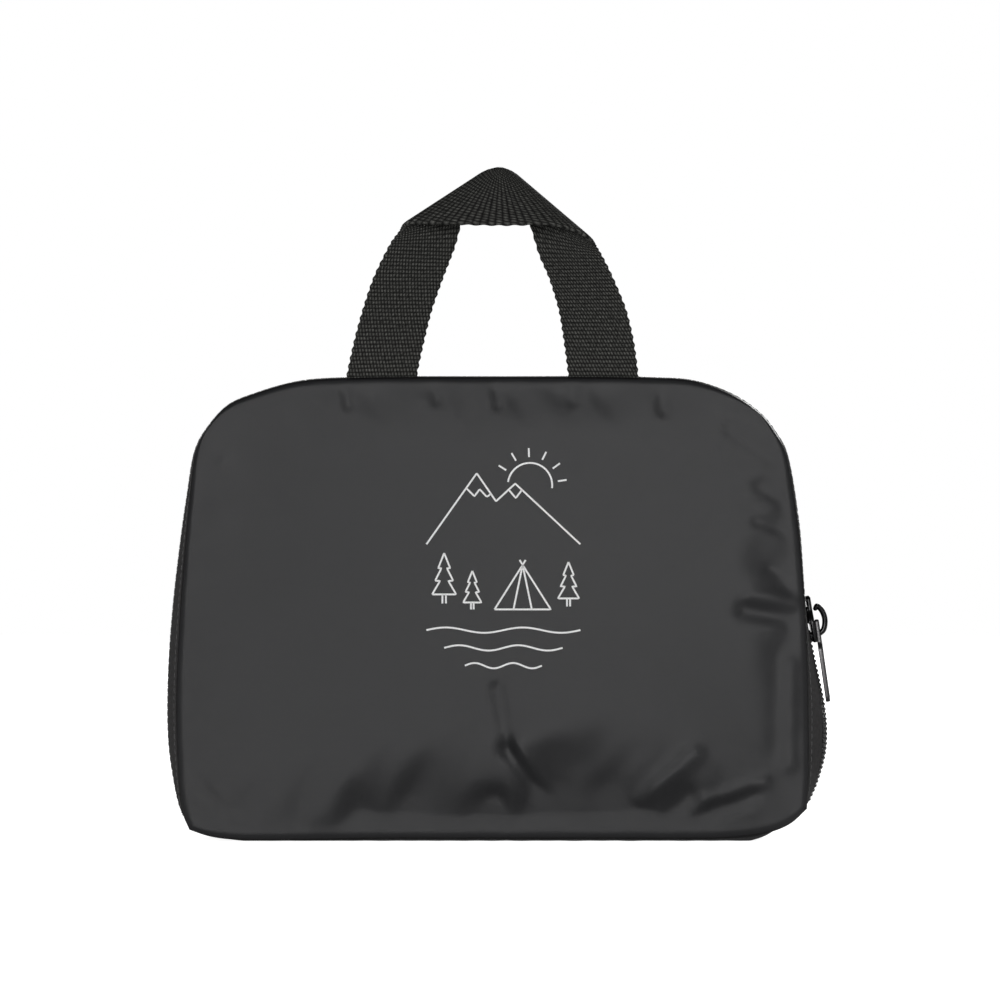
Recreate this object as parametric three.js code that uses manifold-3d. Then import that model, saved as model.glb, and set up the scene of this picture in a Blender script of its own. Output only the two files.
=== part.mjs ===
// A packable backpack, stowed: the bag is folded into its own zipped pouch, which has a webbing handle.
// Millimetres. The pouch stands on Z = 0, its front faces -Y, and X = 0 is midway between its sides.
import * as THREE from 'three';
import { mergeVertices } from 'three/addons/utils/BufferGeometryUtils.js';
import Module from 'manifold-3d';

const wasm = await Module();
wasm.setup();

// Pouch: two cloth panels with a gusset between them
const pouchWidth = 215;
const pouchHeight = 157.6;
const pouchDepth = 34;
const panelCrown = 11;
const crownRoundAcross = 0.5;
const crownRoundUp = 0.7;
const crownLean = 0.85;
const clothWall = 1.2;
const seamGap = 0.3;

// Zip: its two tapes are the gusset at the sides and over the top
const tapeWall = 1;
const coilRow = 2.6;
const coilHeight = 2;
const coilProud = 0.5;
const chainWidth = 4.2;
const mouthSplit = 6;
const tapeStart = 5;
const tapeEnd = 1.6;

// Slider: two plates joined by a post, with an open hook that holds the pull tab
const sliderDrop = 63.8;
const sliderLength = 16;
const sliderShoulder = 12.5;
const sliderNeck = 9;
const plateWall = 1.4;
const postWidth = 2.4;
const postLength = 3.6;
const hookWire = 1.9;
const hookLength = 10.2;
const hookReach = 3.9;
const hookSink = 0.55;

// Pull tab
const tabLength = 28.4;
const tabWidth = 8;
const tabWall = 1.4;
const tabLean = 8.3;
const eyeWidth = 5.6;
const eyeBar = 1;
const slotLength = 6.4;
const eyeLift = 2.9;
const runClear = 0.35;

// Handle: one length of webbing, folded over itself at the top
const webbingWidth = 24;
const webbingWall = 1.8;
const handleSpan = 99;
const handleRise = 71.2;
const handleShift = -1.7;
const sewnLength = 8;
const webbingTension = 0.4;

// Folded backpack inside the pouch, with its clearances to the gusset, the seam and the crown
const bundleInset = 8.5;
const bundleClear = 1.8;
const bundleSlack = 3;
const bundleLayers = 5;
const layerGroove = 1.6;
const bundleRest = 0.5;

// Fineness of the faceted surfaces: steps up each side, across the top and bottom, and over the gusset
const sideSteps = 18;
const topSteps = 26;
const tapeSteps = 4;
const upperSteps = 2 * sideSteps + topSteps;
const rimSteps = upperSteps + topSteps;

// Seam of both panels, up the left side, over the top and down the right side,
// in shares of the pouch's width from the middle and of its height
const upperSeam = [
  { across: -0.486, up: 0.026 },
  { across: -0.497, up: 0.063 },
  { across: -0.505, up: 0.175 },
  { across: -0.507, up: 0.317 },
  { across: -0.501, up: 0.494 },
  { across: -0.495, up: 0.606 },
  { across: -0.486, up: 0.736 },
  { across: -0.475, up: 0.844 },
  { across: -0.459, up: 0.887 },
  { across: -0.426, up: 0.938 },
  { across: -0.383, up: 0.964 },
  { across: -0.314, up: 0.99 },
  { across: -0.233, up: 0.998 },
  { across: 0, up: 1 },
  { across: 0.241, up: 0.998 },
  { across: 0.315, up: 0.99 },
  { across: 0.38, up: 0.956 },
  { across: 0.421, up: 0.913 },
  { across: 0.44, up: 0.878 },
  { across: 0.454, up: 0.844 },
  { across: 0.473, up: 0.693 },
  { across: 0.482, up: 0.563 },
  { across: 0.488, up: 0.434 },
  { across: 0.491, up: 0.261 },
  { across: 0.491, up: 0.132 },
  { across: 0.488, up: 0.071 },
];

// Seam of both panels along the bottom, from left to right, in the same shares
const lowerSeam = [
  { across: -0.486, up: 0.026 },
  { across: -0.455, up: 0.012 },
  { across: -0.407, up: 0.004 },
  { across: -0.154, up: 0.006 },
  { across: 0.162, up: 0.006 },
  { across: 0.38, up: 0.009 },
  { across: 0.431, up: 0.021 },
  { across: 0.463, up: 0.04 },
  { across: 0.488, up: 0.071 },
];

// How the tapes lie round the gusset: how far they stand out past the seam, as a share of the pouch's depth,
// and how much of that rise is a straight flare
const gussetRows = [
  { along: 0, bulge: 0.01, flare: 0 },
  { along: 0.033, bulge: 0.065, flare: 0 },
  { along: 0.06, bulge: 0.098, flare: 0 },
  { along: 0.1, bulge: 0.104, flare: 0 },
  { along: 0.15, bulge: 0.096, flare: 0 },
  { along: 0.21, bulge: 0.066, flare: 0 },
  { along: 0.275, bulge: 0.03, flare: 0 },
  { along: 0.34, bulge: 0.012, flare: 0 },
  { along: 0.69, bulge: 0.012, flare: 0 },
  { along: 0.79, bulge: 0.03, flare: 0 },
  { along: 0.847, bulge: 0.02, flare: 0 },
  { along: 0.866, bulge: 0.034, flare: 0.1 },
  { along: 0.884, bulge: 0.065, flare: 0.2 },
  { along: 0.922, bulge: 0.14, flare: 0.3 },
  { along: 0.943, bulge: 0.15, flare: 0.45 },
  { along: 0.962, bulge: 0.14, flare: 0.45 },
  { along: 0.983, bulge: 0.085, flare: 0.4 },
  { along: 1, bulge: 0.015, flare: 0.4 },
];

// Folds and dents of the front panel: a line in shares of the seam's width and height, a half width as a share
// of the pouch's width, and a rise as a share of the crown
const frontFolds = [
  { fromAcross: 0.0, fromUp: 0.32, toAcross: 0.02, toUp: 0.2, half: 0.02, rise: -0.1 },
  { fromAcross: 0.02, fromUp: 0.2, toAcross: 0.1, toUp: 0.04, half: 0.026, rise: -0.24 },
  { fromAcross: 0.04, fromUp: 0.22, toAcross: 0.12, toUp: 0.06, half: 0.024, rise: 0.14 },
  { fromAcross: -0.01, fromUp: 0.08, toAcross: 0.0, toUp: 0.02, half: 0.03, rise: -0.22 },
  { fromAcross: -0.14, fromUp: 0.09, toAcross: -0.06, toUp: 0.04, half: 0.05, rise: -0.16 },
  { fromAcross: 0.15, fromUp: 0.18, toAcross: 0.2, toUp: 0.06, half: 0.045, rise: -0.18 },
  { fromAcross: 0.23, fromUp: 0.1, toAcross: 0.3, toUp: 0.18, half: 0.03, rise: 0.12 },
  { fromAcross: 0.29, fromUp: 0.04, toAcross: 0.37, toUp: 0.09, half: 0.03, rise: -0.16 },
  { fromAcross: 0.4, fromUp: 0.5, toAcross: 0.49, toUp: 0.48, half: 0.026, rise: -0.16 },
  { fromAcross: 0.39, fromUp: 0.74, toAcross: 0.47, toUp: 0.78, half: 0.026, rise: -0.14 },
  { fromAcross: -0.4, fromUp: 0.84, toAcross: -0.44, toUp: 0.88, half: 0.03, rise: -0.2 },
  { fromAcross: -0.4, fromUp: 0.82, toAcross: -0.38, toUp: 0.58, half: 0.045, rise: -0.12 },
  { fromAcross: -0.49, fromUp: 0.13, toAcross: -0.44, toUp: 0.06, half: 0.03, rise: -0.14 },
  { fromAcross: 0.46, fromUp: 0.38, toAcross: 0.46, toUp: 0.17, half: 0.02, rise: 0.1 },
];

// Folds and dents of the back panel, in the same columns
const backFolds = [
  { fromAcross: -0.3, fromUp: 0.3, toAcross: 0.28, toUp: 0.24, half: 0.04, rise: -0.16 },
  { fromAcross: -0.2, fromUp: 0.72, toAcross: 0.3, toUp: 0.66, half: 0.05, rise: -0.12 },
  { fromAcross: 0.05, fromUp: 0.24, toAcross: -0.06, toUp: 0.03, half: 0.03, rise: -0.2 },
  { fromAcross: 0.42, fromUp: 0.86, toAcross: 0.36, toUp: 0.7, half: 0.035, rise: -0.18 },
  { fromAcross: -0.46, fromUp: 0.42, toAcross: -0.38, toUp: 0.44, half: 0.028, rise: -0.16 },
];

// Webbing of the handle, from its left foot to its right foot. The outer edge's place is a share of the
// handle's span and rise, and of the webbing's width in depth. The last three columns reach from there to
// the inner edge, in webbing widths.
const handleRows = [
  { across: -0.5, up: 0, depth: 0, reachX: 0.99, reachY: 0, reachZ: 0 },
  { across: -0.473, up: 0.171, depth: -0.1, reachX: 0.98, reachY: 0.2, reachZ: 0 },
  { across: -0.442, up: 0.324, depth: -0.17, reachX: 0.963, reachY: 0.32, reachZ: 0 },
  { across: -0.404, up: 0.476, depth: -0.22, reachX: 0.963, reachY: 0.38, reachZ: 0 },
  { across: -0.349, up: 0.629, depth: -0.26, reachX: 0.907, reachY: 0.42, reachZ: 0 },
  { across: -0.316, up: 0.69, depth: -0.28, reachX: 0.892, reachY: 0.5, reachZ: 0.27 },
  { across: -0.305, up: 0.714, depth: -0.31, reachX: 1.07, reachY: 0.56, reachZ: 0.694 },
  { across: -0.277, up: 0.726, depth: -0.36, reachX: 1.08, reachY: 0.6, reachZ: 0.772 },
  { across: -0.146, up: 0.724, depth: -0.42, reachX: 0.652, reachY: 0.62, reachZ: 0.814 },
  { across: 0.026, up: 0.719, depth: -0.44, reachX: 0, reachY: 0.62, reachZ: 0.836 },
  { across: 0.198, up: 0.719, depth: -0.42, reachX: -0.652, reachY: 0.62, reachZ: 0.82 },
  { across: 0.301, up: 0.68, depth: -0.36, reachX: -1, reachY: 0.58, reachZ: 0.9 },
  { across: 0.34, up: 0.643, depth: -0.31, reachX: -1.07, reachY: 0.54, reachZ: 0.9 },
  { across: 0.352, up: 0.622, depth: -0.28, reachX: -0.907, reachY: 0.48, reachZ: 0.297 },
  { across: 0.373, up: 0.575, depth: -0.26, reachX: -0.875, reachY: 0.42, reachZ: 0.04 },
  { across: 0.409, up: 0.476, depth: -0.22, reachX: -0.88, reachY: 0.42, reachZ: 0 },
  { across: 0.455, up: 0.324, depth: -0.17, reachX: -0.935, reachY: 0.34, reachZ: 0 },
  { across: 0.483, up: 0.171, depth: -0.1, reachX: -0.98, reachY: 0.15, reachZ: 0 },
  { across: 0.5, up: 0, depth: 0, reachX: -0.99, reachY: 0, reachZ: 0 },
];

// Places that follow from the sizes
const halfDepth = pouchDepth / 2;
const tapeEdgeDepth = halfDepth - seamGap;
const closedSplit = chainWidth / 2 + seamGap;
const postSplit = postWidth / 2 + coilRow + 2 * seamGap;
const coilLow = coilProud - coilHeight;
const plateOutLow = coilProud + runClear;
const plateInHigh = coilLow - runClear;
const sewnDepth = -halfDepth + seamGap + webbingWall / 2;
const bundleDepth = pouchDepth - 2 * (clothWall + bundleClear);
const bundleCrown = panelCrown - bundleSlack;

const scene = new THREE.Group();

function finish(name, color, roughness, metalness, geometry) {
  const material = new THREE.MeshStandardMaterial({ color, roughness, metalness });
  const mesh = new THREE.Mesh(geometry, material);
  mesh.name = name;
  return mesh;
}

// Positions only, with shared corners merged, so that neighbouring faces meet
const weldGap = 1e-4;

function weld(geometry) {
  const bare = new THREE.BufferGeometry();
  bare.setAttribute('position', geometry.getAttribute('position'));
  if (geometry.index) bare.setIndex(geometry.index);
  return mergeVertices(bare, weldGap);
}

function toSolid(geometry) {
  const bare = weld(geometry);
  return new wasm.Manifold(new wasm.Mesh({
    numProp: 3,
    vertProperties: new Float32Array(bare.getAttribute('position').array),
    triVerts: new Uint32Array(bare.index.array),
  }));
}

function fromSolid(solid) {
  const result = solid.getMesh();
  const geometry = new THREE.BufferGeometry();
  geometry.setAttribute('position', new THREE.BufferAttribute(new Float32Array(result.vertProperties), 3));
  geometry.setIndex(new THREE.BufferAttribute(new Uint32Array(result.triVerts), 1));
  return geometry;
}

// A closed geometry from points and triangles, turned so that its faces point out
function closedGeometry(points, triangles) {
  let volume = 0;
  for (const [a, b, c] of triangles) {
    volume += points[a].dot(new THREE.Vector3().crossVectors(points[b], points[c]));
  }
  const order = volume < 0 ? triangles.map(([a, b, c]) => [a, c, b]) : triangles;
  const geometry = new THREE.BufferGeometry();
  geometry.setFromPoints(points);
  geometry.setIndex(order.flat());
  return geometry;
}

// The wall between two grids of points that match row for row, closed along its four edges
function wallBetween(outer, inner) {
  const rows = outer.length;
  const columns = outer[0].length;
  const points = [...outer.flat(), ...inner.flat()];
  const at = (layer, i, j) => (layer * rows + i) * columns + j;
  const triangles = [];
  const quad = (a, b, c, d) => triangles.push([a, b, c], [a, c, d]);
  for (let i = 0; i < rows - 1; i += 1) {
    for (let j = 0; j < columns - 1; j += 1) {
      quad(at(0, i, j), at(0, i + 1, j), at(0, i + 1, j + 1), at(0, i, j + 1));
      quad(at(1, i, j), at(1, i, j + 1), at(1, i + 1, j + 1), at(1, i + 1, j));
    }
  }
  for (let i = 0; i < rows - 1; i += 1) {
    quad(at(0, i, 0), at(1, i, 0), at(1, i + 1, 0), at(0, i + 1, 0));
    quad(at(0, i, columns - 1), at(0, i + 1, columns - 1), at(1, i + 1, columns - 1), at(1, i, columns - 1));
  }
  for (let j = 0; j < columns - 1; j += 1) {
    quad(at(0, 0, j), at(0, 0, j + 1), at(1, 0, j + 1), at(1, 0, j));
    quad(at(0, rows - 1, j), at(1, rows - 1, j), at(1, rows - 1, j + 1), at(0, rows - 1, j + 1));
  }
  return closedGeometry(points, triangles);
}

// Unit normals of a grid of points, from its neighbours
function gridNormals(grid) {
  const last = grid.length - 1;
  const end = grid[0].length - 1;
  return grid.map((row, i) => row.map((point, j) => {
    const along = grid[Math.min(i + 1, last)][j].clone().sub(grid[Math.max(i - 1, 0)][j]);
    const over = row[Math.min(j + 1, end)].clone().sub(row[Math.max(j - 1, 0)]);
    return along.cross(over).normalize();
  }));
}

// A column of a table at a place along it, on a smooth curve through its rows
function readRows(rows, column, along) {
  const last = rows.length - 1;
  let i = 0;
  while (i < last - 1 && rows[i + 1].along < along) i += 1;
  const slope = (k) => {
    const before = rows[Math.max(k - 1, 0)];
    const after = rows[Math.min(k + 1, last)];
    return (after[column] - before[column]) / (after.along - before.along);
  };
  const width = rows[i + 1].along - rows[i].along;
  const t = THREE.MathUtils.clamp((along - rows[i].along) / width, 0, 1);
  const ease = t * t * (3 - 2 * t);
  const leave = t * (1 - t) * (1 - t) * width * slope(i);
  const arrive = t * t * (t - 1) * width * slope(i + 1);
  return rows[i][column] * (1 - ease) + rows[i + 1][column] * ease + leave + arrive;
}

// Seam round the panels
function seamPoints(rows, steps) {
  const points = rows.map((row) => new THREE.Vector3(row.across * pouchWidth, 0, row.up * pouchHeight));
  return new THREE.CatmullRomCurve3(points, false, 'centripetal').getSpacedPoints(steps);
}

const upper = seamPoints(upperSeam, upperSteps);
const lower = seamPoints(lowerSeam, topSteps);
const rim = [...upper, ...lower.slice(1, -1).reverse()];
const upperLength = upper[0].distanceTo(upper[1]) * upperSteps;

function rimStation(index) {
  return rim[(index + rimSteps) % rimSteps];
}

function stationNormal(index) {
  const before = rimStation(index).clone().sub(rimStation(index - 1)).normalize();
  const after = rimStation(index + 1).clone().sub(rimStation(index)).normalize();
  const way = before.add(after);
  return new THREE.Vector3(-way.z, 0, way.x).normalize();
}

const rimNormals = rim.map((point, index) => stationNormal(index));

function rimAt(position) {
  const index = Math.floor(position);
  const share = position - index;
  const point = rimStation(index).clone().lerp(rimStation(index + 1), share);
  const normal = rimNormals[index % rimSteps].clone().lerp(rimNormals[(index + 1) % rimSteps], share);
  return { point, normal: normal.normalize() };
}

// Whole stations between two positions on the rim, with the two ends
function positionsBetween(start, end) {
  const near = 0.1;
  const positions = [start];
  for (let index = Math.ceil(start + near); index < end - near; index += 1) positions.push(index);
  positions.push(end);
  return positions;
}

// Panels
function seamGrid(step) {
  const grid = [];
  for (let i = 0; i <= topSteps; i += step) {
    const s = i / topSteps;
    const column = [];
    for (let j = 0; j <= sideSteps; j += step) {
      const t = j / sideSteps;
      const point = new THREE.Vector3();
      point.addScaledVector(lower[i], 1 - t);
      point.addScaledVector(upper[sideSteps + i], t);
      point.addScaledVector(upper[j], 1 - s);
      point.addScaledVector(upper[upperSteps - j], s);
      point.addScaledVector(lower[0], -(1 - s) * (1 - t));
      point.addScaledVector(lower[topSteps], -s * (1 - t));
      point.addScaledVector(upper[sideSteps], -(1 - s) * t);
      point.addScaledVector(upper[upperSteps - sideSteps], -s * t);
      column.push({ point, dome: dome(s, t) });
    }
    grid.push(column);
  }
  return grid;
}

// Height of a stuffed panel over its seam, as a share of its crown: fullest a little below the middle
function dome(s, t) {
  const across = Math.abs(Math.sin(Math.PI * s));
  const up = Math.abs(Math.sin(Math.PI * t ** crownLean));
  return across ** crownRoundAcross * up ** crownRoundUp;
}

function foldRise(point, folds) {
  let rise = 0;
  for (const fold of folds) {
    const from = new THREE.Vector3(fold.fromAcross * pouchWidth, 0, fold.fromUp * pouchHeight);
    const to = new THREE.Vector3(fold.toAcross * pouchWidth, 0, fold.toUp * pouchHeight);
    const nearest = new THREE.Line3(from, to).closestPointToPoint(point, true, new THREE.Vector3());
    const far = nearest.distanceTo(point) / (fold.half * pouchWidth);
    rise += fold.rise * Math.exp(-far * far);
  }
  return rise * panelCrown;
}

// Outward normal of the rim at an edge place of the seam grid, or null inside it
function edgeNormal(i, j) {
  if (i === 0) return rimNormals[j];
  if (i === topSteps) return rimNormals[upperSteps - j];
  if (j === 0) return rimNormals[rimSteps - i];
  if (j === sideSteps) return rimNormals[sideSteps + i];
  return null;
}

function makePanel(side, folds) {
  const outer = seamGrid(1).map((column) => column.map(({ point, dome: share }) => {
    const height = panelCrown * share + foldRise(point, folds) * Math.min(1, 2 * share);
    return new THREE.Vector3(point.x, side * (halfDepth + height), point.z);
  }));
  const normals = gridNormals(outer);
  const inner = outer.map((column, i) => column.map((point, j) => {
    const edge = edgeNormal(i, j);
    const inward = edge ? edge.clone().negate() : normals[i][j].clone().multiplyScalar(side);
    return point.clone().addScaledVector(inward, clothWall);
  }));
  return wallBetween(outer, inner);
}

// Gusset: half the split between the tapes, closed above the slider and open below it
const sliderPlace = 1 - sliderDrop / upperLength;
const postPlace = sliderPlace + (sliderLength / 2 - postLength - runClear) / upperLength;
const sliderFoot = sliderPlace + sliderLength / 2 / upperLength;
const splitRows = [
  { along: 0, split: closedSplit },
  { along: sliderPlace - sliderLength / 4 / upperLength, split: closedSplit },
  { along: postPlace, split: postSplit },
  { along: sliderFoot, split: postSplit },
  { along: (sliderFoot + 1) / 2, split: mouthSplit + coilRow },
  { along: 1, split: closedSplit + coilRow / 2 },
];

// A place on the outside of the gusset, at a depth across it, lifted off its surface along its normal
function onGusset(position, depth, lift) {
  const along = position / upperSteps;
  const { point, normal } = rimAt(position);
  const split = readRows(splitRows, 'split', along);
  const bulge = readRows(gussetRows, 'bulge', along) * pouchDepth;
  const flare = readRows(gussetRows, 'flare', along);
  const run = tapeEdgeDepth - split;
  const reach = (tapeEdgeDepth - Math.abs(depth)) / run;
  const within = Math.min(reach, 1);
  const quarter = Math.PI / 2;
  const out = bulge * ((1 - flare) * Math.sin(quarter * within) + flare * within ** 2);
  const slope = bulge / run * ((1 - flare) * quarter * Math.cos(quarter * within) + flare * 2 * within);
  const past = (reach - within) * run;
  const length = Math.hypot(1, slope);
  const place = point.clone().addScaledVector(normal, out + past * slope + lift / length);
  place.y = depth + Math.sign(depth) * lift * slope / length;
  return place;
}

function splitAt(position) {
  return readRows(splitRows, 'split', position / upperSteps);
}

// A strip of the gusset: depthAt gives its depth at a station, for each share of its width from 0 to 1
function gussetStrip(start, end, steps, depthAt, high, low) {
  const grids = [high, low].map((lift) => positionsBetween(start, end).map((position) => {
    const row = [];
    for (let k = 0; k <= steps; k += 1) row.push(onGusset(position, depthAt(position, k / steps), lift));
    return row;
  }));
  return wallBetween(grids[0], grids[1]);
}

const stationLength = upperLength / upperSteps;
const tapeFrom = tapeStart / stationLength;
const tapeTo = upperSteps - tapeEnd / stationLength;
const chainTo = sliderPlace * upperSteps;
const rowFrom = postPlace * upperSteps;

function makeTape(side) {
  const depthAt = (position, share) => side * THREE.MathUtils.lerp(tapeEdgeDepth, splitAt(position), share);
  return gussetStrip(tapeFrom, tapeTo, tapeSteps, depthAt, 0, -tapeWall);
}

function makeChain() {
  const depthAt = (position, share) => chainWidth * (share - 0.5);
  return gussetStrip(tapeFrom, chainTo, 2, depthAt, coilProud, coilLow);
}

function makeRow(side) {
  const depthAt = (position, share) => side * (splitAt(position) - seamGap - share * coilRow);
  return gussetStrip(rowFrom, tapeTo, 1, depthAt, coilProud, coilLow);
}

// Bottom cloth: flat where the pouch stands, with its ends turned up round both lower corners
const baseDepths = [-1, -0.82, -0.64, 0, 0.64, 0.82, 1];
const baseFlat = 0.64;
const baseSpan = 0.4;
const baseFade = 0.04;

function onBase(position, share, lift) {
  const { point, normal } = rimAt(position);
  const beyond = Math.abs(point.x) / pouchWidth - baseSpan;
  const settle = THREE.MathUtils.clamp(1 - beyond / baseFade, 0, 1);
  const curl = THREE.MathUtils.clamp((Math.abs(share) - baseFlat) / (1 - baseFlat), 0, 1);
  const place = point.clone();
  place.z *= 1 - settle * (1 - curl * curl);
  place.addScaledVector(normal, lift);
  place.y = share * tapeEdgeDepth;
  return place;
}

function makeBase() {
  const start = tapeTo + seamGap / stationLength;
  const end = rimSteps + tapeFrom - seamGap / stationLength;
  const grids = [0, -clothWall].map((lift) => positionsBetween(start, end).map((position) => (
    baseDepths.map((share) => onBase(position, share, lift)))));
  return wallBetween(grids[0], grids[1]);
}

// Handle: straight rulings between the webbing's two edges
const handleSteps = 44;

function handlePoint(row) {
  const outer = new THREE.Vector3(
    handleShift + row.across * handleSpan,
    sewnDepth + row.depth * webbingWidth,
    pouchHeight + row.up * handleRise,
  );
  const reach = new THREE.Vector3(row.reachX, row.reachY, row.reachZ).multiplyScalar(webbingWidth);
  return { outer, inner: outer.clone().add(reach) };
}

function makeHandle() {
  const rows = handleRows.map(handlePoint);
  const sewn = new THREE.Vector3(0, 0, -sewnLength);
  const curveOf = (edge) => {
    const points = rows.map((row) => row[edge]);
    const feet = [points[0].clone().add(sewn), points[points.length - 1].clone().add(sewn)];
    return new THREE.CatmullRomCurve3([feet[0], ...points, feet[1]], false, 'catmullrom', webbingTension);
  };
  const outerEdge = curveOf('outer');
  const innerEdge = curveOf('inner');
  const middle = [];
  for (let i = 0; i <= handleSteps; i += 1) {
    const ends = [outerEdge.getPoint(i / handleSteps), innerEdge.getPoint(i / handleSteps)];
    middle.push([0, 0.5, 1].map((share) => ends[0].clone().lerp(ends[1], share)));
  }
  const normals = gridNormals(middle);
  const sides = [1, -1].map((side) => middle.map((row, i) => row.map((point, k) => (
    point.clone().addScaledVector(normals[i][k], side * webbingWall / 2)))));
  return wallBetween(sides[0], sides[1]);
}

// Slots that the sewn feet of the handle take through the front tape
function makeSlot(side) {
  const width = webbingWidth + 2 * seamGap;
  const depth = webbingWall + 2 * seamGap;
  const height = 2 * sewnLength + 2 * seamGap;
  const slot = new THREE.BoxGeometry(width, depth, height);
  const middle = handleShift + side * (handleSpan - webbingWidth) / 2;
  slot.translate(middle, sewnDepth, pouchHeight);
  return slot;
}

function cutTape(geometry) {
  let solid = toSolid(geometry);
  for (const side of [-1, 1]) solid = solid.subtract(toSolid(makeSlot(side)));
  return fromSolid(solid);
}

// Folded backpack: two crowned faces, with grooves between its folded layers round the edge
const bundleStep = 2;

function makeBundle() {
  const grid = seamGrid(bundleStep);
  const scale = 1 - 2 * bundleInset / pouchWidth;
  const floor = clothWall + bundleRest;
  const rise = (pouchHeight - sewnLength - 2 * bundleRest - floor) / pouchHeight;
  const shrink = (point) => new THREE.Vector3(point.x * scale, 0, floor + point.z * rise);
  const columns = grid.length - 1;
  const rows = grid[0].length - 1;
  const points = [];
  const triangles = [];
  const add = (point) => points.push(point) - 1;
  const faces = [-1, 1].map((side) => grid.map((column) => column.map(({ point, dome: share }) => {
    const place = shrink(point);
    place.y = side * (bundleDepth / 2 + bundleCrown * share);
    return add(place);
  })));
  faces.forEach((face, back) => {
    for (let i = 0; i < columns; i += 1) {
      for (let j = 0; j < rows; j += 1) {
        const [a, b, c, d] = [face[i][j], face[i + 1][j], face[i + 1][j + 1], face[i][j + 1]];
        triangles.push(...(back ? [[a, c, b], [a, d, c]] : [[a, b, c], [a, c, d]]));
      }
    }
  });
  const edgeOf = (face) => {
    const loop = [];
    for (let j = 0; j < rows; j += 1) loop.push(face[0][j]);
    for (let i = 0; i < columns; i += 1) loop.push(face[i][rows]);
    for (let j = rows; j > 0; j -= 1) loop.push(face[columns][j]);
    for (let i = columns; i > 0; i -= 1) loop.push(face[i][0]);
    return loop;
  };
  const first = edgeOf(faces[0]);
  const loops = [first];
  for (let k = 1; k < 2 * bundleLayers; k += 1) {
    const inset = k % 2 ? -layerGroove / 2 : layerGroove / 2;
    loops.push(first.map((index, station) => {
      const place = points[index].clone();
      place.y = bundleDepth * (k / (2 * bundleLayers) - 0.5);
      const normal = rimNormals[bundleStep * station];
      if (place.z > floor + layerGroove) place.addScaledVector(normal, -inset - layerGroove / 2);
      return add(place);
    }));
  }
  loops.push(edgeOf(faces[1]));
  for (let k = 0; k < loops.length - 1; k += 1) {
    loops[k].forEach((a, station) => {
      const next = (station + 1) % first.length;
      const [b, c, d] = [loops[k][next], loops[k + 1][next], loops[k + 1][station]];
      triangles.push([a, b, c], [a, c, d]);
    });
  }
  return closedGeometry(points, triangles);
}

// Slider's own frame: X out of the gusset, Y across the zip, Z up the zip towards its closed side
const sliderPosition = sliderPlace * upperSteps;
const sliderBase = onGusset(sliderPosition, 0, 0);
const sliderAbove = onGusset(sliderPosition - sliderLength / 2 / stationLength, 0, 0);
const sliderBelow = onGusset(sliderPosition + sliderLength / 2 / stationLength, 0, 0);
const sliderTurn = Math.atan2(sliderAbove.x - sliderBelow.x, sliderAbove.z - sliderBelow.z);

function placeAtSlider(geometry) {
  geometry.rotateY(sliderTurn);
  geometry.translate(sliderBase.x, sliderBase.y, sliderBase.z);
  return geometry;
}

// A plate seen from outside: wide shoulders at the open end, a narrower neck at the closed end
function plateShape() {
  const top = sliderLength / 2;
  const shoulder = sliderShoulder / 2;
  const neck = sliderNeck / 2;
  const shape = new THREE.Shape();
  shape.moveTo(-shoulder + plateWall, -top);
  shape.lineTo(shoulder - plateWall, -top);
  shape.quadraticCurveTo(shoulder, -top, shoulder, -top + plateWall);
  shape.lineTo(shoulder, 0);
  shape.quadraticCurveTo(neck, top / 3, neck, top - plateWall);
  shape.quadraticCurveTo(neck, top, neck - plateWall, top);
  shape.lineTo(-neck + plateWall, top);
  shape.quadraticCurveTo(-neck, top, -neck, top - plateWall);
  shape.quadraticCurveTo(-neck, top / 3, -shoulder, 0);
  shape.lineTo(-shoulder, -top + plateWall);
  shape.quadraticCurveTo(-shoulder, -top, -shoulder + plateWall, -top);
  return shape;
}

// An outline drawn across and up the zip, given a thickness that starts at a height off the tape
function platePiece(shape, low, wall) {
  const geometry = new THREE.ExtrudeGeometry(shape, { depth: wall, bevelEnabled: false, curveSegments: 3 });
  geometry.applyMatrix4(new THREE.Matrix4().makeBasis(
    new THREE.Vector3(0, 1, 0),
    new THREE.Vector3(0, 0, 1),
    new THREE.Vector3(1, 0, 0),
  ));
  geometry.translate(low, 0, 0);
  return geometry;
}

const plateTop = plateOutLow + plateWall;
const hookFoot = -hookLength / 2 - hookSink;
const barHeight = plateTop + tabWall / 2 + runClear;
const barPlace = hookFoot + hookWire / 2 + runClear + eyeBar / 2 + eyeLift;

// Middle of the hook's wire from its root to its tip, in shares of its reach off the plate and of its length
const hookRows = [
  { off: 0.2, along: 0.02 },
  { off: 0.72, along: 0.125 },
  { off: 1, along: 0.45 },
  { off: 0.86, along: 0.78 },
  { off: 0.5, along: 0.95 },
];
const hookTip = 0.88;

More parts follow.
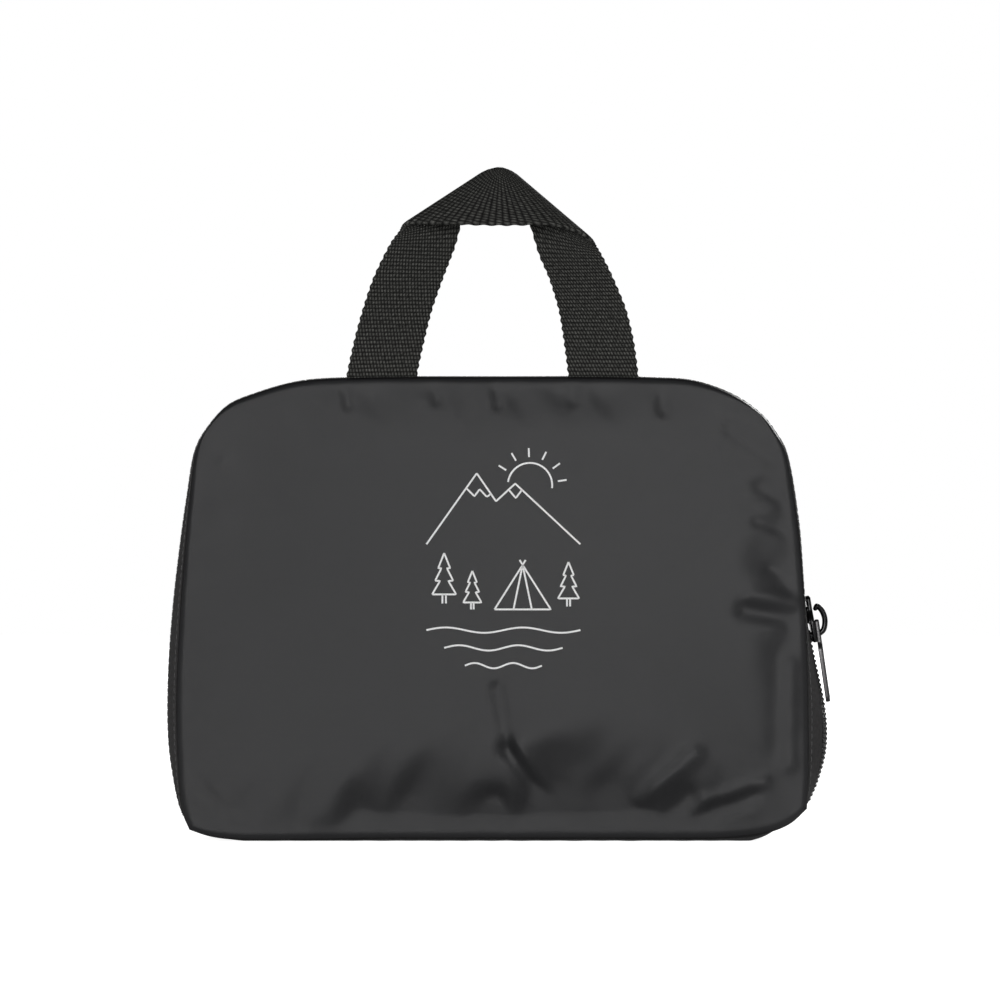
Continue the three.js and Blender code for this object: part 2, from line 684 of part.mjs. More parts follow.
function makeSlider() {
  const outer = toSolid(platePiece(plateShape(), plateOutLow, plateWall));
  const inner = toSolid(platePiece(plateShape(), plateInHigh - plateWall, plateWall));
  const postHeight = plateOutLow - plateInHigh + plateWall;
  const post = new THREE.BoxGeometry(postHeight, postWidth, postLength);
  post.translate((plateOutLow + plateInHigh) / 2, 0, (postLength - sliderLength) / 2);
  const wire = hookWire / 2;
  const bend = hookRows.map(({ off, along }) => (
    new THREE.Vector3(plateTop + hookReach * off, 0, hookFoot + hookLength * along)));
  const path = new THREE.CatmullRomCurve3([
    new THREE.Vector3(plateTop - wire, 0, hookFoot),
    ...bend,
    new THREE.Vector3(plateTop + wire + runClear, 0, hookFoot + hookLength * hookTip),
  ]);
  const section = new THREE.Shape().absarc(0, 0, wire, 0, 2 * Math.PI);
  const hook = new THREE.ExtrudeGeometry(section, { extrudePath: path, steps: 18, curveSegments: 4 });
  const tip = new THREE.SphereGeometry(wire, 8, 6);
  const end = path.getPoint(1);
  tip.translate(end.x, end.y, end.z);
  const whole = outer.add(inner).add(toSolid(post)).add(toSolid(hook)).add(toSolid(tip));
  return placeAtSlider(fromSolid(whole));
}

// Pull tab: a plate with a slot for the hook, hung by the bar above the slot
const eyePivot = new THREE.Vector3(barHeight, 0, barPlace).applyAxisAngle(new THREE.Vector3(0, 1, 0), sliderTurn)
  .add(sliderBase);

function makeTab() {
  const eye = eyeWidth / 2;
  const half = tabWidth / 2;
  const foot = eyeBar / 2 - tabLength;
  const neck = -slotLength - eyeBar;
  const round = tabWidth / 4;
  const shape = new THREE.Shape();
  shape.moveTo(-eye + eyeBar / 2, eyeBar / 2);
  shape.quadraticCurveTo(-eye, eyeBar / 2, -eye, -eyeBar / 2);
  shape.lineTo(-eye, neck);
  shape.lineTo(-half, neck - round);
  shape.lineTo(-half, foot + round);
  shape.quadraticCurveTo(-half, foot, -half + round, foot);
  shape.lineTo(half - round, foot);
  shape.quadraticCurveTo(half, foot, half, foot + round);
  shape.lineTo(half, neck - round);
  shape.lineTo(eye, neck);
  shape.lineTo(eye, -eyeBar / 2);
  shape.quadraticCurveTo(eye, eyeBar / 2, eye - eyeBar / 2, eyeBar / 2);
  const gap = hookWire / 2 + runClear;
  const slot = new THREE.Path();
  slot.moveTo(-gap, -eyeBar / 2);
  slot.lineTo(gap, -eyeBar / 2);
  slot.lineTo(gap, -slotLength);
  slot.lineTo(-gap, -slotLength);
  shape.holes.push(slot);
  const geometry = platePiece(shape, -tabWall / 2, tabWall);
  geometry.rotateY(-THREE.MathUtils.degToRad(tabLean));
  geometry.translate(eyePivot.x, eyePivot.y, eyePivot.z);
  return geometry;
}

const clothColor = 0x3f3f41;
scene.add(finish('front_panel', clothColor, 0.55, 0, makePanel(-1, frontFolds)));
scene.add(finish('back_panel', clothColor, 0.55, 0, makePanel(1, backFolds)));
scene.add(finish('bottom_gusset', clothColor, 0.55, 0, makeBase()));
scene.add(finish('zip_tape_front', 0x3b3a3b, 0.85, 0, cutTape(makeTape(-1))));
scene.add(finish('zip_tape_rear', 0x3b3a3b, 0.85, 0, makeTape(1)));
scene.add(finish('zip_chain', 0x151515, 0.4, 0, makeChain()));
scene.add(finish('zip_row_front', 0x151515, 0.4, 0, makeRow(-1)));
scene.add(finish('zip_row_rear', 0x151515, 0.4, 0, makeRow(1)));
scene.add(finish('slider', 0x1b1c1e, 0.35, 0.9, makeSlider()));
scene.add(finish('pull_tab', 0x3d4348, 0.3, 0.95, makeTab()));
scene.add(finish('handle', 0x2f2f2e, 0.9, 0, makeHandle()));
scene.add(finish('packed_bundle', 0x38383a, 0.6, 0, makeBundle()));

export default scene;
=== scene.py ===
# %% [markdown]
# # A packable backpack, packed in its own zipped pouch
# The bag is folded into a pouch of its own thin cloth. The pouch stands upright, has a webbing handle,
# and is closed by a zip that runs up one side, over the top and down the other. The frame holds every
# piece at its real size, and this lesson dresses each one in fine geometry and a material.

# %% Load the frame
import math

import bmesh
import bpy
import numpy as np
from mathutils import Matrix, Vector


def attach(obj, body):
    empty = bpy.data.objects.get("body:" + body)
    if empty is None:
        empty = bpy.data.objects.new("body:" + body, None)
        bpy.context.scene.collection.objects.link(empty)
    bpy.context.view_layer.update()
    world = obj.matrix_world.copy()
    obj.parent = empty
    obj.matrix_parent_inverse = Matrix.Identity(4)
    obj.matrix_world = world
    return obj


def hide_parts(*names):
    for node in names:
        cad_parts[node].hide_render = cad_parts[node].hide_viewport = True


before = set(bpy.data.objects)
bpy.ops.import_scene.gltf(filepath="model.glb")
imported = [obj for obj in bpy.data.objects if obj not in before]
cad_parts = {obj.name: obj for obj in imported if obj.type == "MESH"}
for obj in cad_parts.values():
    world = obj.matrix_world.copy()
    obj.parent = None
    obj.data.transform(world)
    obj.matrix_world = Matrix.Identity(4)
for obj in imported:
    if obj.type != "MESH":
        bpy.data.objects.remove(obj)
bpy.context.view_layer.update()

MM = 0.001
POUCH = "pouch"
PULL = "pull"
scene = bpy.context.scene
print("pieces in the frame:", sorted(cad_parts))

# %% [markdown]
# ## Camera
# The photograph looks level and straight at the front from far away, so nothing of the top shows. A long
# lens at two metres gives that flat look. Blender's lens is set from the width of the view at the pouch:
# 1000 pixels of 0.34 mm each.

# %% Camera
PIXEL = 0.34 * MM
PICTURE = 1000
CENTRE_X = 497.5
FLOOR_ROW = 841
VIEW_DISTANCE = 2.0
FRONT_PLANE = -0.012
SENSOR = 36.0

camera_data = bpy.data.cameras.new("camera")
camera_data.sensor_width = SENSOR
camera_data.lens = SENSOR * VIEW_DISTANCE / (PICTURE * PIXEL)
camera_data.clip_end = 20
camera = bpy.data.objects.new("camera", camera_data)
eye_x = (PICTURE / 2 - CENTRE_X) * PIXEL
eye_z = (FLOOR_ROW - PICTURE / 2) * PIXEL
camera.location = (eye_x, FRONT_PLANE - VIEW_DISTANCE, eye_z)
camera.rotation_euler = (math.pi / 2, 0, 0)
scene.collection.objects.link(camera)
scene.camera = camera
print("lens mm:", round(camera_data.lens, 1), "eye height mm:", round(eye_z / MM, 1))


# %% [markdown]
# ## Short calls for nodes
# Every material and every repeat here is a tree of nodes. A node has settings, and each of its inputs
# takes a fixed value or a link from another node. A few functions for that let a tree read like a recipe.

# %% Node calls
def set_inputs(tree, node, inputs):
    """Gives each input a fixed value, or a link from another node's output."""
    for key, value in inputs.items():
        if isinstance(value, bpy.types.NodeSocket):
            tree.links.new(value, node.inputs[key])
        else:
            node.inputs[key].default_value = value


def add_node(tree, kind, inputs, **settings):
    node = tree.nodes.new(kind)
    for key, value in settings.items():
        setattr(node, key, value)
    set_inputs(tree, node, inputs)
    return node


def node_material(name):
    material = bpy.data.materials.new(name)
    material.use_nodes = True
    return material, material.node_tree, material.node_tree.nodes["Principled BSDF"]


def compute(tree, operation, *values):
    """The result of one Math node."""
    return add_node(tree, "ShaderNodeMath", dict(enumerate(values)), operation=operation).outputs[0]


def mapped(tree, value, low, high, start=0, end=1):
    """A value from between start and end, brought to between low and high."""
    inputs = {"Value": value, "From Min": start, "From Max": end, "To Min": low, "To Max": high}
    return add_node(tree, "ShaderNodeMapRange", inputs).outputs[0]


def noise(tree, place, scale, detail):
    inputs = {"Vector": place, "Scale": scale, "Detail": detail}
    return add_node(tree, "ShaderNodeTexNoise", inputs).outputs["Fac"]


def tinted(tree, color, shade):
    """A colour made darker or lighter by a shade around 1."""
    inputs = {0: color[:3], "Scale": shade}
    return add_node(tree, "ShaderNodeVectorMath", inputs, operation="SCALE").outputs[0]


def add_bump(tree, shader, height, strength, distance):
    bump = add_node(tree, "ShaderNodeBump", {"Height": height, "Strength": strength, "Distance": distance})
    set_inputs(tree, shader, {"Normal": bump.outputs["Normal"]})


def object_place(tree):
    return add_node(tree, "ShaderNodeTexCoord", {}).outputs["Object"]


def cloth_lengths(tree):
    """Place on a strip or a panel, as lengths across and along it, and the same two numbers apart."""
    lengths = add_node(tree, "ShaderNodeUVMap", {}, uv_map="lengths").outputs[0]
    return lengths, add_node(tree, "ShaderNodeSeparateXYZ", {0: lengths}).outputs


print("node calls ready")

# %% [markdown]
# ## Floor and light
# Product photographs are taken on a white sweep of paper, and the paper is often lit by itself so that it
# comes out pure white. Here the floor glows a little for the camera, and far less for the pouch, which
# would look washed out from below if all of that glow reached it. The world does the same. So a broad
# lamp near the camera gives most of the light: satin cloth is brightest where it faces that lamp and
# falls to near black where a fold turns away. A weaker lamp fills from the right, and one behind lights
# the back for whoever walks round.

# %% Floor and light
FLOOR_SIZE = 6.0
FLOOR_SEEN = 0.93
FLOOR_CAST = 0.05
WORLD_SEEN = 1.0
WORLD_CAST = 0.1


def mesh_object(name, points, faces, edges=()):
    mesh = bpy.data.meshes.new(name)
    mesh.from_pydata([tuple(p) for p in points], [tuple(e) for e in edges], [tuple(f) for f in faces])
    mesh.validate()
    mesh.shade_smooth()
    piece = bpy.data.objects.new(name, mesh)
    scene.collection.objects.link(piece)
    return piece


def seen_and_cast(tree, seen, cast):
    """One value for the camera and another for the light that is cast on things."""
    return mapped(tree, add_node(tree, "ShaderNodeLightPath", {}).outputs["Is Camera Ray"], cast, seen)


half = FLOOR_SIZE / 2
corners = [(-half, -half, 0), (half, -half, 0), (half, half, 0), (-half, half, 0)]
floor = mesh_object("floor", corners, [range(4)])
floor_material, floor_tree, floor_shader = node_material("white_floor")
set_inputs(floor_tree, floor_shader, {
    "Base Color": (0.93, 0.93, 0.93, 1), "Roughness": 0.9, "Specular IOR Level": 0.1,
    "Emission Color": (1, 1, 1, 1), "Emission Strength": seen_and_cast(floor_tree, FLOOR_SEEN, FLOOR_CAST),
})
floor.data.materials.append(floor_material)

world = bpy.data.worlds.new("studio")
world.use_nodes = True
world_glow = seen_and_cast(world.node_tree, WORLD_SEEN, WORLD_CAST)
backdrop = world.node_tree.nodes["Background"]
set_inputs(world.node_tree, backdrop, {"Color": (1, 1, 1, 1), "Strength": world_glow})
scene.world = world
scene.view_settings.view_transform = "Standard"


def add_lamp(name, place, aim, size, power):
    data = bpy.data.lights.new(name, "AREA")
    data.shape = "RECTANGLE"
    data.size = size[0]
    data.size_y = size[1]
    data.energy = power
    lamp = bpy.data.objects.new(name, data)
    lamp.location = place
    lamp.rotation_euler = (Vector(aim) - Vector(place)).to_track_quat("-Z", "Y").to_euler()
    scene.collection.objects.link(lamp)


LAMP_AIM = (0, 0, 0.09)
add_lamp("key", (-0.5, -2.3, 0.45), LAMP_AIM, (1.0, 0.8), 29.5)
add_lamp("fill", (1.2, -1.8, 0.5), LAMP_AIM, (0.7, 0.7), 5.5)
add_lamp("rear", (0.9, 2.1, 1.0), LAMP_AIM, (1.2, 0.9), 26.0)
print("view transform:", scene.view_settings.view_transform)

# %% [markdown]
# ## The seam that everything meets
# Both cloth panels are sewn to the gusset along one seam. Its outline is a rounded trapezium with soft
# upper corners, a cut lower left corner and a slanting lower right one. A curve through a few measured
# places, given as shares of the pouch's width and height, holds it, and every other piece is built out
# from that curve.

# %% Seam outline
WIDTH = 215 * MM
HEIGHT = 157.6 * MM
DEPTH = 34 * MM
CROWN = 11 * MM
CLOTH = 1.2 * MM
SEAM_GAP = 0.3 * MM

UPPER_SEAM = [
    (-0.486, 0.026), (-0.497, 0.063), (-0.505, 0.175), (-0.507, 0.317), (-0.501, 0.494), (-0.495, 0.606),
    (-0.486, 0.736), (-0.475, 0.844), (-0.459, 0.887), (-0.426, 0.938), (-0.383, 0.964), (-0.314, 0.99),
    (-0.233, 0.998), (0, 1), (0.241, 0.998), (0.315, 0.99), (0.38, 0.956), (0.421, 0.913), (0.44, 0.878),
    (0.454, 0.844), (0.473, 0.693), (0.482, 0.563), (0.488, 0.434), (0.491, 0.261), (0.491, 0.132),
    (0.488, 0.071),
]
LOWER_SEAM = [
    (-0.486, 0.026), (-0.455, 0.012), (-0.407, 0.004), (-0.154, 0.006), (0.162, 0.006), (0.38, 0.009),
    (0.431, 0.021), (0.463, 0.04), (0.488, 0.071),
]
# Grid corners, as shares of the way round the upper seam
LEFT_CORNER = 18 / 62
RIGHT_CORNER = 44 / 62


def smooth_curve(points, samples=40):
    """A centripetal Catmull-Rom curve through points, as a dense line of places."""
    points = np.asarray(points, float)
    ends = [2 * points[0] - points[1], *points, 2 * points[-1] - points[-2]]
    line = []
    for a, b, c, d in zip(ends, ends[1:], ends[2:], ends[3:]):
        roots = [max(np.linalg.norm(q - p), 1e-9) ** 0.5 for p, q in ((a, b), (b, c), (c, d))]
        knots = np.cumsum([0, *roots])
        for t in np.linspace(knots[1], knots[2], samples, endpoint=False):
            ab = a + (b - a) * (t - knots[0]) / (knots[1] - knots[0])
            bc = b + (c - b) * (t - knots[1]) / (knots[2] - knots[1])
            cd = c + (d - c) * (t - knots[2]) / (knots[3] - knots[2])
            abc = ab + (bc - ab) * (t - knots[0]) / (knots[2] - knots[0])
            bcd = bc + (cd - bc) * (t - knots[1]) / (knots[3] - knots[1])
            line.append(abc + (bcd - abc) * (t - knots[1]) / (knots[2] - knots[1]))
    line.append(points[-1])
    return np.array(line)


def even_reader(line):
    """A function that gives the places at shares of a line's length."""
    steps = np.linalg.norm(np.diff(line, axis=0), axis=1)
    along = np.concatenate([[0], np.cumsum(steps)])

    def read(share):
        place = np.asarray(share, float) * along[-1]
        return np.stack([np.interp(place, along, line[:, k]) for k in range(line.shape[1])], axis=-1)

    return read, along[-1]


seam_scale = np.array([WIDTH, HEIGHT])
upper_at, UPPER_LENGTH = even_reader(smooth_curve(np.array(UPPER_SEAM) * seam_scale))
lower_at, LOWER_LENGTH = even_reader(smooth_curve(np.array(LOWER_SEAM) * seam_scale))
print("seam mm: upper", round(UPPER_LENGTH / MM, 1), "lower", round(LOWER_LENGTH / MM, 1))


# %% [markdown]
# ## Cloth panels
# Each panel is one piece of thin coated nylon, sewn all round and pushed out by the folded bag behind it.
# A cloth simulation does the same here: the panel is pinned along its seam, cut a little fuller where the
# photograph shows folds, and blown out by pressure. Simulated cloth is coarse, so it is softened and
# refined, and a table adds the sharp creases. Last, the cloth is kept clear of the bag behind it.

# %% Panel grid
PANEL_COLUMNS = 220
PANEL_ROWS = 154


def seam_grid(columns, rows):
    """Places (x, z) of a grid stretched over the seam outline, with its shares across and up."""
    s = np.linspace(0, 1, columns + 1)[:, None]
    t = np.linspace(0, 1, rows + 1)[None, :]
    low = lower_at(s[:, 0])[:, None, :]
    top = upper_at(LEFT_CORNER + (RIGHT_CORNER - LEFT_CORNER) * s[:, 0])[:, None, :]
    left = upper_at(LEFT_CORNER * t[0])[None, :, :]
    right = upper_at(1 - (1 - RIGHT_CORNER) * t[0])[None, :, :]
    s3 = s[:, :, None]
    t3 = t[:, :, None]
    places = low * (1 - t3) + top * t3 + left * (1 - s3) + right * s3
    places -= low[0, 0] * (1 - s3) * (1 - t3) + low[-1, 0] * s3 * (1 - t3)
    places -= top[0, 0] * (1 - s3) * t3 + top[-1, 0] * s3 * t3
    return places, np.broadcast_to(s, places.shape[:2]), np.broadcast_to(t, places.shape[:2])


def ripple(x, seed, waves=7, low=0.6, high=1.9):
    """A smooth random wave over x, of about one unit a wave, between -1 and 1."""
    draw = np.random.default_rng(seed)
    total = np.zeros_like(x, dtype=float)
    for _ in range(waves):
        total += np.sin(2 * math.pi * (draw.uniform(low, high) * x + draw.random()))
    return total / waves ** 0.5 / 1.6


def crown_share(s, t):
    """Height of a stuffed panel over its seam, as a share of its crown."""
    low = t ** 0.85
    return np.abs(np.sin(math.pi * s)) ** 0.5 * np.abs(np.sin(math.pi * low)) ** 0.7


BUNDLE_INSET = 8.5 * MM
BUNDLE_CLEAR = 1.8 * MM
BUNDLE_SLACK = 3 * MM
BUNDLE_DEPTH = DEPTH - 2 * (CLOTH + BUNDLE_CLEAR)
BUNDLE_CROWN = CROWN - BUNDLE_SLACK
SEWN_LENGTH = 8 * MM
bundle_floor = CLOTH + 0.5 * MM
bundle_scale = 1 - 2 * BUNDLE_INSET / WIDTH
bundle_rise = (HEIGHT - SEWN_LENGTH - 1 * MM - bundle_floor) / HEIGHT


def bundle_height(s, t):
    """How far the folded bag reaches from the middle behind a place of the panel's grid."""
    across = np.clip(0.5 + (s - 0.5) / bundle_scale, 0, 1)
    up = np.clip((t * HEIGHT - bundle_floor) / (bundle_rise * HEIGHT), 0, 1)
    return BUNDLE_DEPTH / 2 + BUNDLE_CROWN * crown_share(across, up)


def seam_distance(s, t):
    """Rough distance from the seam at a place of the grid."""
    return np.minimum(np.minimum(s, 1 - s) * WIDTH, np.minimum(t, 1 - t) * HEIGHT)


def fade_in(distance, reach):
    """0 at the seam and 1 from a reach away from it, with soft ends."""
    share = np.clip(distance / reach, 0, 1)
    return share * share * (3 - 2 * share)


def grid_quads(index):
    """The four corners of every cell of a grid of point numbers."""
    return np.stack([index[:-1, :-1], index[1:, :-1], index[1:, 1:], index[:-1, 1:]], axis=-1).reshape(-1, 4)


def crease_rise(places, creases):
    """Rise of a table of creases: from, to, half width in mm, rise in mm. Each fades to its ends."""
    total = np.zeros(places.shape[:2])
    for x0, z0, x1, z1, half_width, rise in creases:
        start = np.array([x0 * WIDTH, z0 * HEIGHT])
        way = np.array([x1 * WIDTH, z1 * HEIGHT]) - start
        share = np.clip(((places - start) @ way) / (way @ way), 0, 1)
        far = np.linalg.norm(places - start - share[..., None] * way, axis=-1) / (half_width * MM)
        total += rise * MM * np.exp(-far ** 2)
    return total


print("panel grid points:", (PANEL_COLUMNS + 1) * (PANEL_ROWS + 1))

# %% Panel creases
# Columns: from across and up, to across and up, half width in mm, rise in mm
FRONT_CREASES = [
    (0.0, 0.33, 0.018, 0.2, 2.6, -0.9),
    (0.018, 0.2, 0.1, 0.04, 3.4, -2.2),
    (0.03, 0.21, 0.11, 0.05, 2.4, 1.5),
    (-0.005, 0.09, 0.002, 0.015, 3.6, -2.4),
    (-0.15, 0.03, 0.2, 0.03, 15, -2.8),
    (0.15, 0.17, 0.18, 0.05, 11, -1.6),
    (0.225, 0.09, 0.31, 0.19, 3.4, 1.3),
    (0.26, 0.03, 0.3, 0.1, 4, -1.4),
    (0.31, 0.04, 0.4, 0.1, 3, -1.3),
    (0.33, 0.09, 0.42, 0.13, 2.4, 0.8),
    (0.39, 0.5, 0.485, 0.475, 3.2, -1.5),
    (0.4, 0.53, 0.48, 0.515, 3, 0.8),
    (0.43, 0.59, 0.48, 0.565, 2, -0.6),
    (0.41, 0.69, 0.475, 0.66, 2.4, -0.7),
    (0.415, 0.765, 0.465, 0.72, 2.4, -0.8),
    (0.37, 0.89, 0.455, 0.81, 2.6, -1.0),
    (-0.41, 0.87, -0.435, 0.9, 5, -1.3),
    (-0.43, 0.83, -0.44, 0.86, 3, 0.8),
    (-0.4, 0.86, -0.385, 0.6, 9, -1.2),
    (-0.44, 0.84, -0.47, 0.8, 2.2, -0.7),
    (-0.49, 0.14, -0.43, 0.06, 2.6, -1.2),
    (-0.47, 0.1, -0.41, 0.045, 2.4, 0.7),
    (0.462, 0.38, 0.462, 0.17, 3.4, 0.9),
    (0.445, 0.4, 0.44, 0.2, 4, -0.6),
    (-0.24, 0.99, -0.235, 0.94, 2, -0.8),
    (-0.1, 0.995, -0.095, 0.95, 2.2, -0.7),
    (0.0, 0.995, 0.0, 0.94, 2, -0.7),
    (0.115, 0.995, 0.12, 0.95, 2.2, -0.7),
    (0.265, 0.99, 0.26, 0.93, 2.2, -0.8),
]
BACK_CREASES = [
    (-0.3, 0.3, 0.28, 0.24, 7, -1.6),
    (-0.2, 0.72, 0.3, 0.66, 9, -1.2),
    (0.05, 0.24, -0.06, 0.03, 5, -2.0),
    (0.42, 0.86, 0.36, 0.7, 6, -1.8),
    (-0.46, 0.42, -0.38, 0.44, 5, -1.6),
    (-0.05, 0.99, -0.055, 0.93, 2.4, -0.8),
    (0.2, 0.99, 0.195, 0.94, 2.4, -0.8),
]
print("creases on the front:", len(FRONT_CREASES))

# %% Simulated fullness
SIM_COLUMNS = PANEL_COLUMNS // 2
SIM_ROWS = PANEL_ROWS // 2
SIM_FRAMES = 30
SIM_PRESSURE = 3.5

# Where the cloth is cut fuller than its seam: across, up, radius across, radius up, and how much longer
FRONT_SLACK = [
    (-0.14, 0.03, 0.1, 0.12, 0.02), (0.13, 0.05, 0.1, 0.14, 0.02), (0.03, 0.1, 0.03, 0.12, 0.02),
    (0.3, 0.08, 0.05, 0.08, 0.02), (0.45, 0.8, 0.06, 0.08, 0.02), (0.46, 0.52, 0.06, 0.05, 0.02),
    (-0.43, 0.9, 0.06, 0.08, 0.02),
]
BACK_SLACK = [
    (-0.2, 0.05, 0.12, 0.12, 0.02), (0.2, 0.06, 0.1, 0.1, 0.015), (0.45, 0.4, 0.05, 0.1, 0.02),
    (-0.45, 0.7, 0.05, 0.1, 0.02), (0.1, 0.97, 0.2, 0.06, 0.015),
]
SEAM_SLACK = 0.012
SEAM_FADE = 14 * MM
TAUT_LEVELS = 40
SIDEWAYS_FADE = 8 * MM
CLOTH_SETTINGS = {
    "quality": 6, "mass": 0.05, "tension_stiffness": 20, "compression_stiffness": 20, "shear_stiffness": 10,
    "bending_stiffness": 3, "vertex_group_mass": "seam", "use_pressure": True,
    "uniform_pressure_force": SIM_PRESSURE, "vertex_group_shrink": "taut",
}


def resting_rise(places, s, t, seed):
    """Height of a panel before it is simulated: a soft crown with a little unevenness."""
    x = places[..., 0]
    z = places[..., 1]
    share = np.abs(np.sin(math.pi * s)) ** 0.7 * np.abs(np.sin(math.pi * t ** 0.85)) ** 0.75
    rough = ripple(x / (24 * MM), seed) * ripple(z / (19 * MM), seed + 1)
    near_seam = seam_distance(s, t)
    rough = rough * np.clip(share * 2, 0, 1) * (0.1 + 0.9 * np.exp(-near_seam / (20 * MM)))
    return 0.8 * CROWN * share + 0.35 * MM * rough


def add_groups(sheet, index, slack):
    """What the simulation reads: the pinned seam, and how taut the cloth is at each point."""
    edge = np.unique(np.concatenate([index[0], index[-1], index[:, 0], index[:, -1]]))
    sheet.vertex_groups.new(name="seam").add(edge.tolist(), 1.0, "REPLACE")
    taut = sheet.vertex_groups.new(name="taut")
    share = np.rint((1 - slack / slack.max()) * TAUT_LEVELS).astype(int).ravel()
    for level in range(TAUT_LEVELS + 1):
        chosen = np.flatnonzero(share == level)
        if len(chosen):
            taut.add(chosen.tolist(), level / TAUT_LEVELS, "REPLACE")


def simulated(sheet, most_slack):
    """The places of a sheet's points after its simulation. The sheet is removed."""
    modifier = sheet.modifiers.new("cloth", "CLOTH")
    for key, value in CLOTH_SETTINGS.items():
        setattr(modifier.settings, key, value)
    modifier.settings.effector_weights.gravity = 0
    modifier.settings.shrink_min = -most_slack
    modifier.settings.shrink_max = 0
    modifier.collision_settings.use_collision = False
    modifier.point_cache.frame_end = SIM_FRAMES
    for frame_number in range(1, SIM_FRAMES + 1):
        scene.frame_set(frame_number)
    blown = sheet.evaluated_get(bpy.context.evaluated_depsgraph_get()).to_mesh()
    places = np.zeros(len(blown.vertices) * 3, np.float32)
    blown.vertices.foreach_get("co", places)
    bpy.data.objects.remove(sheet)
    scene.frame_set(1)
    return places


def fill_cloth(name, side, slack_spots, seed):
    """A panel pinned along its seam and blown out by the bundle behind it. Gives its grid of points."""
    places, s, t = seam_grid(SIM_COLUMNS, SIM_ROWS)
    height = side * (DEPTH / 2 + resting_rise(places, s, t, seed))
    start = np.stack([places[..., 0], height, places[..., 1]], axis=-1)
    near_seam = seam_distance(s, t)
    slack = SEAM_SLACK * np.exp(-(near_seam / SEAM_FADE) ** 2)
    x = places[..., 0] / WIDTH
    z = places[..., 1] / HEIGHT
    for across, up, wide, high, amount in slack_spots:
        slack = slack + amount * np.exp(-(((x - across) / wide) ** 2 + ((z - up) / high) ** 2))
    index = np.arange(s.size).reshape(s.shape)
    sheet = mesh_object(name, start.reshape(-1, 3), grid_quads(index)[:, ::-side])
    add_groups(sheet, index, slack)
    moved = simulated(sheet, slack.max()).reshape(start.shape) - start
    # Along the seam the cloth may rise but not slide, so its outline stays the seam's
    moved[..., 0] *= fade_in(near_seam, SIDEWAYS_FADE)
    moved[..., 2] *= fade_in(near_seam, SIDEWAYS_FADE)
    print(name, "moved mm:", round(float(np.abs(moved).max()) / MM, 2))
    return start + moved


def soften(grid, rounds):
    """Averages inner points of a grid with their neighbours."""
    for _ in range(rounds):
        inner = grid[1:-1, 1:-1]
        ring = (grid[:-2, 1:-1] + grid[2:, 1:-1] + grid[1:-1, :-2] + grid[1:-1, 2:]) / 4
        grid = grid.copy()
        grid[1:-1, 1:-1] = (inner + ring) / 2
    return grid


def refine(grid):
    """Twice as many points each way, on smooth curves through the old ones."""
    for axis in (0, 1):
        grid = np.moveaxis(grid, axis, 0)
        before = np.concatenate([grid[:1], grid[:-2]])
        after = np.concatenate([grid[2:], grid[-1:]])
        middles = (9 * (grid[:-1] + grid[1:]) - before - after) / 16
        middles[0] = (grid[0] + grid[1]) / 2
        middles[-1] = (grid[-2] + grid[-1]) / 2
        whole = np.empty((2 * len(grid) - 1, *grid.shape[1:]))
        whole[::2] = grid
        whole[1::2] = middles
        grid = np.moveaxis(whole, 0, axis)
    return grid


print("simulated points:", (SIM_COLUMNS + 1) * (SIM_ROWS + 1))


# %% Turn grids of points into closed walls
def grid_normals(grid):
    along = np.gradient(grid, axis=0)
    over = np.gradient(grid, axis=1)
    normal = np.cross(along, over)
    return normal / np.maximum(np.linalg.norm(normal, axis=-1, keepdims=True), 1e-12)


def signed_volume(points, faces):
    total = 0.0
    for face in faces:
        a = points[face[0]]
        for b, c in zip(face[1:], face[2:]):
            total += float(np.dot(a, np.cross(points[b], points[c])))
    return total


def wall_object(name, outer, inner, uv=None):
    """A closed wall between two grids of points that match. uv gives each point a pair of lengths."""
    rows, columns = outer.shape[:2]
    points = np.concatenate([outer.reshape(-1, 3), inner.reshape(-1, 3)])
    index = np.arange(rows * columns).reshape(rows, columns)
    other = index + rows * columns
    quads = [
        grid_quads(index),
        np.roll(grid_quads(other)[:, ::-1], 1, axis=1),
        np.stack([index[:-1, 0], other[:-1, 0], other[1:, 0], index[1:, 0]], axis=-1),
        np.stack([index[:-1, -1], index[1:, -1], other[1:, -1], other[:-1, -1]], axis=-1),
        np.stack([index[0, :-1], index[0, 1:], other[0, 1:], other[0, :-1]], axis=-1),
        np.stack([index[-1, :-1], other[-1, :-1], other[-1, 1:], index[-1, 1:]], axis=-1),
    ]
    faces = np.concatenate(quads)
    a, b, c, d = (points[faces[:, k]] for k in range(4))
    volume = (a * (np.cross(b, c) + np.cross(c, d))).sum()
    if volume < 0:
        faces = faces[:, ::-1]
    piece = mesh_object(name, points, faces.tolist())
    if uv is not None:
        both = np.concatenate([uv.reshape(-1, 2), uv.reshape(-1, 2)])
        layer = piece.data.uv_layers.new(name="lengths")
        loop_points = np.zeros(len(piece.data.loops), np.int32)
        piece.data.loops.foreach_get("vertex_index", loop_points)
        layer.data.foreach_set("uv", both[loop_points].ravel())
    return piece


def dress(piece, body, slot, material, *nodes):
    """Gives a finished piece its material and body, and hides the frame's nodes that it stands for. The slot
    is not used.
    """
    piece.data.materials.clear()
    piece.data.materials.append(material)
    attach(piece, body)
    if nodes:
        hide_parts(*nodes)
    print(piece.name, "faces:", len(piece.data.polygons))
    return piece


# %% Cloth material
CLOTH_COLOR = (0.012, 0.012, 0.0133, 1)


WARP_THREAD = 0.42 * MM
WEFT_THREAD = 0.36 * MM
SLUB_STRETCH = (60, 1400, 1)


